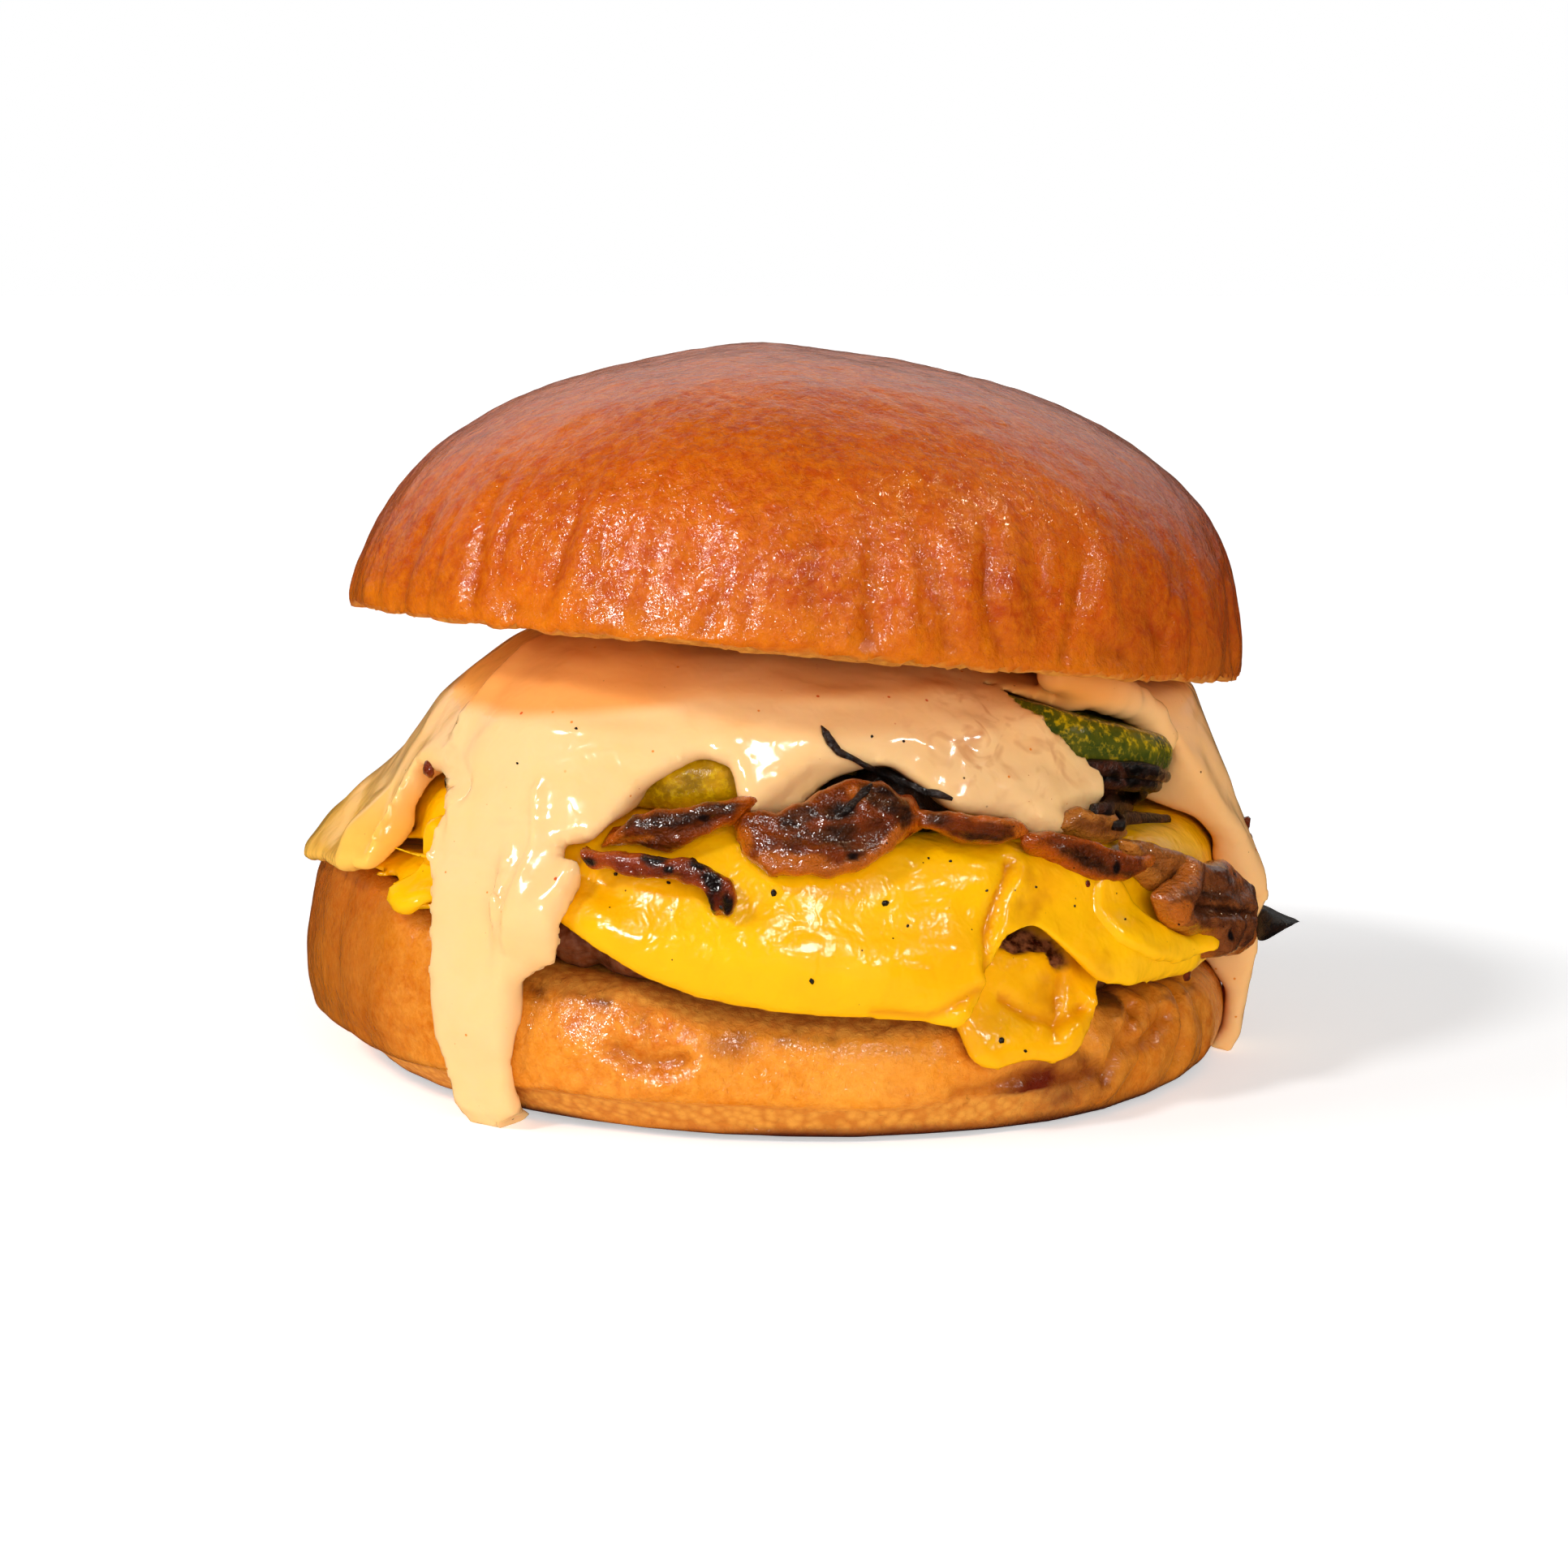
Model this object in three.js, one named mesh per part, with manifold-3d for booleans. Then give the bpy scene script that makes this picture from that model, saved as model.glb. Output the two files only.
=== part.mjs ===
// A mushroom cheeseburger: bun heel, two patties under melted cheese slices, fried mushroom
// slices, thick pickle slices, a poured sauce with long drips, and a tilted brioche crown.
// Millimetres, +Z up. The front faces -Y, and angles in degrees run from the front towards +X.
// The origin is the middle of the heel's flat underside.
import * as THREE from "three";
import { mergeVertices } from "three/addons/utils/BufferGeometryUtils.js";
import Module from "manifold-3d";

const wasm = await Module();
wasm.setup();

// Driving sizes
const TILT = 0.08; // every layer above the heel drops this much for each mm towards +X
const GAP = 0.3; // clearance between touching pieces
const DRAPE_GAP = 0.5; // clearance under pieces that follow others round a curve
const HEEL_TOP = 15.6; // cut face of the heel, at the middle
const PATTY_THICK = 6.5;
const CHEESE_THICK = 2.3;
const CHEESE_REACH = 1.3; // how far a slice bends outside its patty
const SHOULDER = 4; // largest radius of the bend where a cheese slice turns down over its patty
const SAUCE_THICK = 1.8; // least thickness of the sauce over what it covers
const CROWN_RADIUS = 54.8;
const CROWN_HEIGHT = 35;
const CROWN_SEAT = [1.2, 0, 50]; // middle of the crown's cut face
const CROWN_LEAN = [-4.1, 4.95]; // degrees about X and Y: front up, right side down

// Heights of the layers at the middle, stacked from the heel upwards
const LOWER_PATTY = HEEL_TOP + GAP;
const LOWER_CHEESE = LOWER_PATTY + PATTY_THICK + GAP;
const UPPER_PATTY = LOWER_CHEESE + CHEESE_THICK + GAP;
const UPPER_CHEESE = UPPER_PATTY + PATTY_THICK + GAP;
const BED = UPPER_CHEESE + CHEESE_THICK + GAP;
const BED_THICK = 1.8;
const SAUCE_FLOOR = BED + BED_THICK + 0.5;

// Outlines round the burger, as [angle, height or radius]
const HEEL_RIM = [
  [-150, 20], [-115, 23], [-85, 24.8], [-72, 25.8], [-60, 25], [-52, 23.2], [-46, 21.6], [-34, 18.2],
  [-20, 17], [-7, 14.4], [10, 13.2], [45, 13.4], [70, 12.4], [100, 12.8], [140, 15], [175, 17],
];
const HEEL_BULGE = [
  [-150, 56], [-90, 59.2], [-60, 57.3], [-35, 54.6], [0, 52.8], [45, 53.4], [90, 54.6], [150, 55],
];
const HEEL_FOOT = [
  [-150, 47], [-90, 45.5], [-57, 44], [-34, 43.8], [-7, 46.6], [9, 48.7], [41, 51.4], [66, 50.6],
  [100, 49.5], [150, 48],
];
const LOWER_MEAT = [[-135, 49], [-90, 50], [-45, 49.5], [0, 49], [60, 49], [90, 50], [150, 49]];
const UPPER_MEAT = [
  [-135, 45], [-90, 41.6], [-60, 45.5], [-30, 48], [0, 48.8], [45, 49.2], [90, 49.6], [135, 48], [180, 47],
];
const LOWER_SLICE = [
  [-150, 15], [-132, 22], [-95, 27], [-72, 27], [-60, 27.2], [-54, 24.8], [-49, 23.4], [-44, 24.4],
  [-32, 25], [0, 20], [18, 18], [20.6, 12.8], [22, 9], [25, 7.8], [28.5, 8.6], [33, 7.7], [36, 8.6],
  [39.5, 12], [42, 16], [50, 18.5], [80, 18], [105, 17.5], [120, 9.5], [135, 17], [175, 20.5],
];
const LOWER_FLARE = [[-150, 2], [-90, 0], [-68, 0.5], [-52, 4.2], [-38, 1.5], [30, 1.6], [120, 2]];
const UPPER_SLICE = [
  [-165, 17], [-140, 29], [-110, 34.5], [-88, 33.5], [-72, 31], [-62, 29.4], [-50, 28.8], [-40, 29],
  [-29, 25.6], [-22, 21.8], [-16, 18.9], [-9, 16.6], [3, 15], [13, 14.1], [20, 13.6], [23, 17], [26, 22.6],
  [31, 23.2], [35, 20], [39, 16], [44, 14.7], [58, 14], [70, 15.5], [90, 18], [105, 14], [120, 19.5],
  [150, 28], [178, 27],
];
const UPPER_FLARE = [[-165, 2.5], [-90, 0.5], [-54, 2.4], [-20, 2.4], [30, 2.2], [60, 2.4], [105, 3]];
const CROWN_FULLNESS = [[-90, 1.98], [0, 2.2], [90, 2.36], [180, 2.2]]; // superellipse power of the dome
const BED_RADIUS = [
  [-90, 38], [-45, 42], [0, 43.5], [14, 46], [30, 43.5], [48, 45.5], [62, 44], [90, 44], [180, 42.5],
];
const BED_RISE = [[-30, 0], [4, 1], [14, 5], [24, 2], [34, 0.6], [50, 4.6], [64, 2.4], [80, 0]];
const SAUCE_EDGE = [
  [-180, 29], [-168, 26], [-160, 17], [-153, 17], [-146, 29], [-128, 31], [-112, 28], [-103, 25], [-91, 23],
  [-80, 24.2], [-71, 25.6], [-62, 26.2], [-55.4, 26.8], [-52.6, 30], [-51.4, 38], [-47.4, 39], [-45.6, 30],
  [-43.8, 22], [-42.4, 10], [-41, 0], [-33.4, 0], [-33, 9], [-32.4, 17.6], [-29.5, 19.2], [-26.4, 20.2],
  [-25.6, 24], [-24.6, 29], [-22, 34], [-18.4, 39], [-11.5, 42.5], [-6.4, 42], [-4.6, 38], [1, 38.4],
  [7, 40.8], [14, 41.6], [19.4, 40.2], [22.4, 37], [32, 34.4], [36.4, 31.6], [40, 30.6], [43.6, 31.4],
  [47, 34], [48.8, 40], [50.2, 46.5], [58, 46], [68, 43.4], [71.5, 37], [74.5, 30], [78, 26.5],
  [81, 10], [82, 0], [90, 0],
  [91.5, 10], [94, 20], [106, 25], [124, 31], [140, 30], [148, 23], [155, 23.5], [164, 30],
];
// Outer radius of the sauce: one row for each height, one column for each angle
const WALL_ANGLES = [-135, -90, -60, -35, -10, 10, 35, 60, 90, 130, 180];
const WALL_HEIGHTS = [56, 53, 50, 47, 44.5, 40, 34, 26, 14, 0];
const SAUCE_WALL = [
  [10, 18, 26, 33, 22, 14, 8, 6, 4, 4, 4],
  [22, 26, 33.5, 40.5, 33, 26, 22, 22, 12, 12, 12],
  [31, 30, 38.6, 45, 40.5, 37, 34.5, 33, 30, 22, 22],
  [36, 34.6, 42.3, 48.6, 45, 43.4, 42, 42.5, 42.5, 32, 32],
  [42.5, 38, 45.2, 50.6, 47.2, 46, 44.6, 45.5, 49.6, 42, 42],
  [48.5, 43.8, 48.4, 52.2, 49.2, 48, 47.6, 47.5, 52.4, 49.5, 48.5],
  [51.5, 47.2, 52, 53.8, 51.5, 50.5, 49.5, 51, 53.6, 53.5, 53],
  [55.5, 56, 56.6, 55.8, 55.4, 55, 55, 55.6, 57.6, 56, 55.5],
  [58.5, 58, 58.2, 57.6, 57, 56.6, 57, 57.4, 58, 58, 58],
  [55.5, 55.5, 55.4, 54.6, 54, 54, 54, 54.6, 55.8, 56, 56],
];

// Smooth value at an angle from a list of [angle, value] that closes on itself.
function around(list, angle) {
  const last = list.length - 1;
  let k = list.findIndex(([a]) => a > angle);
  if (k < 0) k = 0;
  const [a0, v0] = list[k === 0 ? last : k - 1];
  const [a1, v1] = list[k];
  const span = (a1 - a0 + 360) % 360 || 360;
  const t = ((angle - a0 + 720) % 360) / span;
  return v0 + (v1 - v0) * t * t * (3 - 2 * t);
}

// Sum of a few waves round the burger: the low unevenness of food, between about -1 and 1.
function waves(angle, seed) {
  const a = THREE.MathUtils.degToRad(angle);
  return (
    0.45 * Math.sin(2 * a + seed) +
    0.3 * Math.sin(5 * a + 2.3 * seed) +
    0.25 * Math.sin(9 * a + 4.1 * seed)
  );
}

// Column angles: an even fan, with extra columns where an outline turns sharply.
function fan(step, extra = []) {
  const even = [];
  for (let a = -180; a < 180; a += step) {
    if (extra.every((e) => Math.abs(e - a) > step * 0.4)) even.push(a);
  }
  return [...even, ...extra].sort((a, b) => a - b);
}

const sine = (angle) => Math.sin(THREE.MathUtils.degToRad(angle));
const layer = (height, angle, r) => height - TILT * r * sine(angle);
const columns = (list) => list.map(([angle]) => angle);
const share = (count) => Array.from({ length: count }, (_, k) => (k + 1) / count);

// Closed body from one profile [r, z] for each angle. Profiles run from the top pole to the bottom pole.
function loft(angles, profile) {
  const rows = angles.map(profile);
  const rings = rows[0].length - 2;
  const n = angles.length;
  const points = [0, 0, rows[0][0][1]];
  for (let k = 1; k <= rings; k++) {
    angles.forEach((angle, i) => {
      const a = THREE.MathUtils.degToRad(angle);
      const [r, z] = rows[i][k];
      points.push(r * Math.sin(a), -r * Math.cos(a), z);
    });
  }
  points.push(0, 0, rows[0][rings + 1][1]);
  const bottom = rings * n + 1;
  const at = (k, i) => 1 + k * n + (i % n);
  const faces = [];
  for (let i = 0; i < n; i++) {
    faces.push(0, at(0, i), at(0, i + 1));
    for (let k = 0; k < rings - 1; k++) {
      faces.push(at(k, i), at(k + 1, i), at(k + 1, i + 1));
      faces.push(at(k, i), at(k + 1, i + 1), at(k, i + 1));
    }
    faces.push(bottom, at(rings - 1, i + 1), at(rings - 1, i));
  }
  return new THREE.BufferGeometry()
    .setAttribute("position", new THREE.Float32BufferAttribute(points, 3))
    .setIndex(faces);
}

// A layer that others drape over: its profile, and which of its rows face outwards.
function makeLayer(profile, from, to) {
  const kept = new Map();
  const skin = (angle) => {
    if (!kept.has(angle)) kept.set(angle, profile(angle).slice(from, to + 1));
    return kept.get(angle);
  };
  return { profile, skin };
}

// Outer radius of a layer at a height, or 0 above and below it.
function outerRadius(body, angle, z) {
  const rows = body.skin(angle);
  for (let k = 1; k < rows.length; k++) {
    const [r0, z0] = rows[k - 1];
    const [r1, z1] = rows[k];
    if (z <= z0 && z >= z1) return r1 + ((r0 - r1) * (z - z1)) / Math.max(z0 - z1, 1e-6);
  }
  return 0;
}

// How far out several layers reach close to a height and an angle.
function cover(bodies, angle, z) {
  let reach = 0;
  for (const body of bodies) {
    for (const turn of [-3, 0, 3]) {
      for (const rise of [-1.2, 0, 1.2]) {
        const a = ((angle + turn + 540) % 360) - 180;
        reach = Math.max(reach, outerRadius(body, a, z + rise));
      }
    }
  }
  return reach;
}

// Heel: a foot, a bulging side and a rolled rim round its cut face.
function heelSide(angle, part) {
  const bulge = around(HEEL_BULGE, angle);
  const foot = around(HEEL_FOOT, angle);
  if (part < 0.45) return foot + (bulge - foot) * Math.sqrt(1 - (1 - part / 0.45) ** 2);
  return bulge - 2.8 * ((part - 0.45) / 0.55) ** 2;
}

function heelProfile(angle) {
  const rim = around(HEEL_RIM, angle);
  const edge = heelSide(angle, 1) - 1.4;
  const parts = [0.94, 0.8, 0.62, 0.45, 0.28, 0.13, 0.04];
  return [
    [0, HEEL_TOP],
    [edge * 0.5, layer(HEEL_TOP, angle, edge * 0.5)],
    [edge - 4.5, layer(HEEL_TOP, angle, edge - 4.5)],
    [edge - 1, rim - 0.1],
    ...parts.map((part) => [heelSide(angle, part), part * rim]),
    [around(HEEL_FOOT, angle) - 0.6, 0],
    [around(HEEL_FOOT, angle) * 0.5, 0],
    [0, 0],
  ];
}

function pattyProfile(base, outline, seed) {
  return (angle) => {
    const r = around(outline, angle) + 0.7 * waves(angle, seed);
    const crag = 0.25 * waves(angle * 3, seed + 1);
    const bottom = (rr) => layer(base, angle, rr);
    const top = (rr) => layer(base + PATTY_THICK, angle, rr);
    return [
      [0, base + PATTY_THICK],
      [r * 0.55, top(r * 0.55)],
      [r - 2.4, top(r) - 0.1],
      [r - 0.5, top(r) - 1.5],
      [r + crag, bottom(r) + PATTY_THICK * 0.5],
      [r - 0.5 + crag, bottom(r) + 1.4],
      [r - 2.4, bottom(r) + 0.1],
      [r * 0.55, bottom(r * 0.55)],
      [0, base],
    ];
  };
}

// A square slice melted over its patty: flat on top, bent at the shoulder, hanging to its outline
// and lying on whatever is below.
function cheeseProfile({ base, outline, meat, flare, below, room, steps }) {
  return (angle) => {
    const rim = around(meat, angle) + CHEESE_REACH;
    const under = (r) => layer(base, angle, r);
    const low = around(outline, angle);
    const shoulder = THREE.MathUtils.clamp(under(rim) - low - 1, 0.6, SHOULDER);
    const bend = under(rim) - shoulder;
    const corner = (turn, thick) => {
      const a = THREE.MathUtils.degToRad(turn);
      const out = shoulder + thick;
      return [rim - shoulder + out * Math.sin(a), under(rim - shoulder) - shoulder + out * Math.cos(a)];
    };
    let last = rim;
    const wall = share(steps).map((part) => {
      const z = bend - (bend - low) * part;
      last = Math.max(rim + around(flare, angle) * part * part, cover(below, angle, z) + room, last - 0.6);
      return [last, z];
    });
    const lip = steps - 1;
    return [
      [0, base + CHEESE_THICK],
      [rim * 0.5, under(rim * 0.5) + CHEESE_THICK],
      ...[0, 35, 70].map((turn) => corner(turn, CHEESE_THICK)),
      ...wall.map(([r, z], k) => [r + CHEESE_THICK, z + (k === lip ? 0.6 : 0)]),
      [wall[lip][0] + CHEESE_THICK * 0.5, low - 0.2],
      ...wall.map(([r, z], k) => [r, z + (k === lip ? 0.4 : 0)]).reverse(),
      ...[60, 15].map((turn) => corner(turn, 0)),
      [rim * 0.5, under(rim * 0.5)],
      [0, base],
    ];
  };
}

// Heap of dark fried mushrooms between the upper cheese and the sauce.
function bedProfile(angle) {
  const r = around(BED_RADIUS, angle) + 0.6 * waves(angle, 5);
  const rise = around(BED_RISE, angle);
  const floor = (rr) => layer(BED, angle, rr);
  return [
    [0, BED + BED_THICK],
    [r - 9, floor(r - 9) + BED_THICK],
    [r - 3.4, floor(r) + BED_THICK + rise],
    [r - 1, floor(r) + BED_THICK - 0.6 + rise * 0.8],
    [r, floor(r) + 0.9],
    [r - 1.6, floor(r) + 0.15],
    [0, BED],
  ];
}

const heelLayer = makeLayer(heelProfile, 3, 11);
const lowerMeat = makeLayer(pattyProfile(LOWER_PATTY, LOWER_MEAT, 1), 2, 6);
const lowerCheese = makeLayer(
  cheeseProfile({
    base: LOWER_CHEESE, outline: LOWER_SLICE, meat: LOWER_MEAT, flare: LOWER_FLARE,
    below: [heelLayer, lowerMeat], room: 0.5, steps: 4,
  }),
  2, 9,
);
const upperMeat = makeLayer(pattyProfile(UPPER_PATTY, UPPER_MEAT, 2.4), 2, 6);
const upperCheese = makeLayer(
  cheeseProfile({
    base: UPPER_CHEESE, outline: UPPER_SLICE, meat: UPPER_MEAT, flare: UPPER_FLARE,
    below: [heelLayer, lowerMeat, lowerCheese, upperMeat], room: 0.9, steps: 5,
  }),
  2, 10,
);
const bedLayer = makeLayer(bedProfile, 1, 4);
const STACK = [heelLayer, lowerMeat, lowerCheese, upperMeat, upperCheese, bedLayer];

// Outer radius of the poured sauce at a height, before what it covers pushes it out.
function sauceRadius(angle, z) {
  const column = (row) => around(WALL_ANGLES.map((a, i) => [a, row[i]]), angle);
  const k = WALL_HEIGHTS.findIndex((h) => z >= h);
  if (k <= 0) return column(SAUCE_WALL[k === 0 ? 0 : WALL_HEIGHTS.length - 1]);
  const part = (WALL_HEIGHTS[k - 1] - z) / (WALL_HEIGHTS[k - 1] - WALL_HEIGHTS[k]);
  return column(SAUCE_WALL[k - 1]) * (1 - part) + column(SAUCE_WALL[k]) * part;
}

// Everything that the sauce covers, as one simple body with a little room round it.
function coreProfile(angle) {
  const heap = bedLayer.skin(angle).map(([r, z]) => [r + 0.4, z + 0.5]);
  const edge = heap[heap.length - 1][0];
  const corners = upperCheese.skin(angle).slice(0, 3);
  const shoulder = corners.map(([r, z], k) => [Math.max(r, edge + 0.1 * k) + 0.9, z + 0.9]);
  const bend = shoulder[2][1];
  const wall = [bend - 2.5, bend - 8, 14, 8, 2.5, -1];
  return [
    [0, SAUCE_FLOOR],
    ...heap,
    ...shoulder,
    ...wall.map((z) => [cover(STACK, angle, z) + DRAPE_GAP, z]),
    [0, -1],
  ];
}

function sauceProfile(angle) {
  const edge = around(SAUCE_EDGE, angle);
  const dome = [55, 51.5, 48, 44.5].map((z, k) => Math.max(z, edge + 0.5 * (5 - k)));
  const side = share(4).map((part) => dome[3] - (dome[3] - edge) * part);
  const inside = (z) => cover(STACK, angle, z) + DRAPE_GAP;
  const outside = (z) => Math.max(sauceRadius(angle, z), inside(z) + SAUCE_THICK);
  return [
    [0, 57],
    ...dome.map((z) => [z < 48 ? outside(z) : sauceRadius(angle, z), z]),
    ...side.map((z, k) => [outside(z), z + (k === 3 && edge > 0 ? 0.7 : 0)]),
    [outside(edge) - 0.9, edge],
    [Math.min(inside(edge), sauceRadius(angle, 44)) - 3, edge + 0.1],
    [20, 36],
    [0, 36],
  ];
}

// Brioche dome on a flat cut, with folds low on its wall and a small knob near the top.
function crownProfile(angle) {
  const heights = [0.985, 0.93, 0.84, 0.72, 0.58, 0.44, 0.3, 0.16, 0.05];
  const power = around(CROWN_FULLNESS, angle);
  const fold = (part) => 0.5 * waves(angle * 2, 3) * Math.max(0, 0.6 - part);
  const dome = heights.map((part) => [
    CROWN_RADIUS * (1 - part ** power) ** (1 / power) + fold(part),
    part * CROWN_HEIGHT,
  ]);
  return [
    [0, CROWN_HEIGHT],
    ...dome,
    [CROWN_RADIUS - 0.7 + fold(0), 0],
    [CROWN_RADIUS * 0.6, 0],
    [0, 0],
  ];
}

// Pushes a smooth bump into a body's points.
function bump(geometry, centre, reach, push) {
  const p = geometry.attributes.position;
  const at = new THREE.Vector3();
  for (let i = 0; i < p.count; i++) {
    at.fromBufferAttribute(p, i);
    const d = at.distanceTo(centre) / reach;
    if (d < 1) at.addScaledVector(push, (1 - d * d) ** 2);
    p.setXYZ(i, at.x, at.y, at.z);
  }
  return geometry;
}

// Surface that toppings lie on: the cheese, then a slope from its shoulder up over the heap.
function shelf(angle, z) {
  const a = ((angle + 540) % 360) - 180;
  const rows = upperCheese.skin(a);
  const [topR, topZ] = rows[1];
  if (z > topZ) return topR - (z - topZ) * 0.55;
  const low = rows[rows.length - 1];
  return outerRadius(upperCheese, a, Math.max(z, low[1] + 0.7)) || cover(STACK, a, z);
}

// Bends a flat topping onto the shelf: x runs round the burger, y up it and z out of it.
function wrap(geometry, { angle, height, turn = 0, out = 0 }) {
  const p = geometry.attributes.position;
  const spin = THREE.MathUtils.degToRad(turn);
  const radius = shelf(angle, height);
  for (let i = 0; i < p.count; i++) {
    const [x, y, depth] = [p.getX(i), p.getY(i), p.getZ(i)];
    const u = x * Math.cos(spin) - y * Math.sin(spin);
    const v = x * Math.sin(spin) + y * Math.cos(spin);
    const at = angle + THREE.MathUtils.radToDeg(u / radius);
    const z = height + v * 0.92;
    const slope = (shelf(at, z + 1) - shelf(at, z - 1)) / 2;
    const long = Math.hypot(1, slope);
    const r = Math.max(shelf(at, z), cover([bedLayer], at, z)) + (DRAPE_GAP + out + depth) / long;
    const a = THREE.MathUtils.degToRad(at);
    p.setXYZ(i, r * Math.sin(a), -r * Math.cos(a), z - ((DRAPE_GAP + out + depth) * slope) / long);
  }
  return geometry;
}

// Turns what lies beyond a line across a flat topping down through an angle, round a radius.
function bent(x, y, { from, radius, turn }) {
  const over = x - from;
  if (over <= 0) return [x, y];
  const a = Math.min(over / radius, THREE.MathUtils.degToRad(turn));
  const rest = over - a * radius;
  return [
    from + (radius + y) * Math.sin(a) + rest * Math.cos(a),
    -radius + (radius + y) * Math.cos(a) - rest * Math.sin(a),
  ];
}

// Fried slice: an uneven outline with a rounded edge, flat where it lies and rippled outside.
function slice({ length, width, thick, seed, bend, ragged = 0.19, sides = 13, square = 2.4, ...place }) {
  const geometry = loft(fan(360 / sides), (angle) => {
    const [across, up] = [Math.abs(sine(angle)), Math.abs(sine(angle + 90))];
    const r = (1 + ragged * waves(angle, seed)) / (across ** square + up ** square) ** (1 / square);
    return [
      [0, 1],
      [0.5 * r, 0.92 + 0.2 * waves(angle, seed + 2)],
      [0.85 * r, 0.7],
      [r, 0.32],
      [0.94 * r, 0.05],
      [0, 0],
    ];
  });
  const p = geometry.attributes.position;
  for (let i = 0; i < p.count; i++) {
    const [x, y, z] = [p.getX(i), p.getY(i), p.getZ(i)];
    const flat = [(x * length) / 2, (y * width) / 2];
    p.setXYZ(i, ...(bend ? bent(...flat, bend) : flat), z * thick);
  }
  return wrap(geometry, place);
}

// Point beside the burger's axis, for pieces placed by angle, height and radius.
function sidePoint(angle, height, radius) {
  const a = THREE.MathUtils.degToRad(angle);
  return [radius * Math.sin(a), -radius * Math.cos(a), height];
}

// Thick round pickle slice with softened rims, lying in the burger at a lean.
function pickle({ angle, height, from, lean, radius, thick }) {
  const profile = [[0, 0.5], [0.93, 0.5], [1, 0.24], [1, -0.24], [0.93, -0.5], [0, -0.5]];
  const disc = loft(fan(18), (a) => profile.map(([r, z]) => [r * (radius + 0.3 * waves(a, 1)), z * thick]));
  const turn = new THREE.Euler(...lean.map(THREE.MathUtils.degToRad));
  return disc
    .applyMatrix4(new THREE.Matrix4().makeRotationFromEuler(turn))
    .translate(...sidePoint(angle, height, from));
}

// Thin burnt herb twig laid along a few points, each an angle, a height and a distance off the shelf.
function twig(points, radius) {
  const place = ([angle, height, out]) => sidePoint(angle, height, shelf(angle, height) + out);
  const path = new THREE.CatmullRomCurve3(points.map((p) => new THREE.Vector3(...place(p))));
  const section = new THREE.Shape().absarc(0, 0, radius, 0, 2 * Math.PI);
  return new THREE.ExtrudeGeometry(section, {
    steps: 9, curveSegments: 3, bevelEnabled: false, extrudePath: path,
  });
}

function merged(geometry) {
  const bare = geometry.clone();
  bare.deleteAttribute("normal");
  bare.deleteAttribute("uv");
  return mergeVertices(bare, 1e-3);
}

function toSolid(geometry) {
  const g = merged(geometry);
  return new wasm.Manifold(
    new wasm.Mesh({
      numProp: 3,
      vertProperties: new Float32Array(g.attributes.position.array),
      triVerts: new Uint32Array(g.index.array),
    }),
  );
}

function toGeometry(body) {
  const mesh = body.getMesh();
  return new THREE.BufferGeometry()
    .setAttribute("position", new THREE.BufferAttribute(new Float32Array(mesh.vertProperties), 3))
    .setIndex(new THREE.BufferAttribute(new Uint32Array(mesh.triVerts), 1));
}

// The same body pushed out along its normals, as the room that its neighbours leave for it.
function grown(geometry) {
  const g = merged(geometry);
  g.computeVertexNormals();
  const p = g.attributes.position;
  const normal = g.attributes.normal;
  for (let i = 0; i < p.count; i++) {
    p.setXYZ(
      i,
      p.getX(i) + GAP * normal.getX(i),
      p.getY(i) + GAP * normal.getY(i),
      p.getZ(i) + GAP * normal.getZ(i),
    );
  }
  return g;
}

// Cuts a body clear of layers and of grown toppings, and keeps its largest piece.
function fit(geometry, layers, toppings = []) {
  let body = toSolid(geometry);
  for (const other of layers) body = body.subtract(toSolid(other));
  for (const other of toppings) body = body.subtract(toSolid(grown(other)));
  const pieces = body.decompose().sort((a, b) => b.volume() - a.volume());
  return toGeometry(pieces[0]);
}

const heel = loft(fan(9), heelLayer.profile);
const heelPoints = heel.attributes.position;
heelPoints.setXY(heelPoints.count - 1, 4, 3); // the fan of the flat underside starts beside the origin
const pattyLower = fit(loft(fan(12), lowerMeat.profile), [heel]);
const cheeseLower = fit(loft(fan(12, columns(LOWER_SLICE)), lowerCheese.profile), [heel, pattyLower]);
const pattyUpper = fit(loft(fan(12), upperMeat.profile), [cheeseLower]);
const cheeseUpper = fit(loft(fan(12, columns(UPPER_SLICE)), upperCheese.profile), [
  heel, pattyLower, cheeseLower, pattyUpper,
]);
const crown = bump(
  loft(fan(7.5), crownProfile),
  new THREE.Vector3(-6, -2, CROWN_HEIGHT),
  13,
  new THREE.Vector3(0, 0, 1),
)
  .rotateX(THREE.MathUtils.degToRad(CROWN_LEAN[0]))
  .rotateY(THREE.MathUtils.degToRad(CROWN_LEAN[1]))
  .translate(...CROWN_SEAT);

// Fried slices, the large one in front first
const SLICES = {
  mushroom_large: { angle: 5.4, height: 35, length: 21, width: 13, thick: 3.2, turn: 12, seed: 2 },
  mushroom_left: { angle: -14, height: 34.6, length: 18, width: 5.2, thick: 2.8, turn: 17, seed: 1 },
  mushroom_middle: { angle: 25.4, height: 34.3, length: 15.5, width: 4.4, thick: 3, turn: -7, seed: 3 },
  mushroom_slope: { angle: 42.5, height: 30, length: 17.5, width: 4.6, thick: 2.8, turn: -20, seed: 5 },
  mushroom_stub: { angle: 44.5, height: 33.6, length: 10.4, width: 3.6, thick: 3.2, turn: -12, seed: 4 },
  mushroom_corner: { angle: 56, height: 28, length: 14, width: 6, thick: 2.8, turn: -22, seed: 6 },
  mushroom_right: { angle: 65, height: 22.6, length: 18.5, width: 15, thick: 4.4, turn: -50, seed: 7 },
  mushroom_back: { angle: 133, height: 29.6, length: 20, width: 8, thick: 3, turn: 6, seed: 9 },
};
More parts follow.
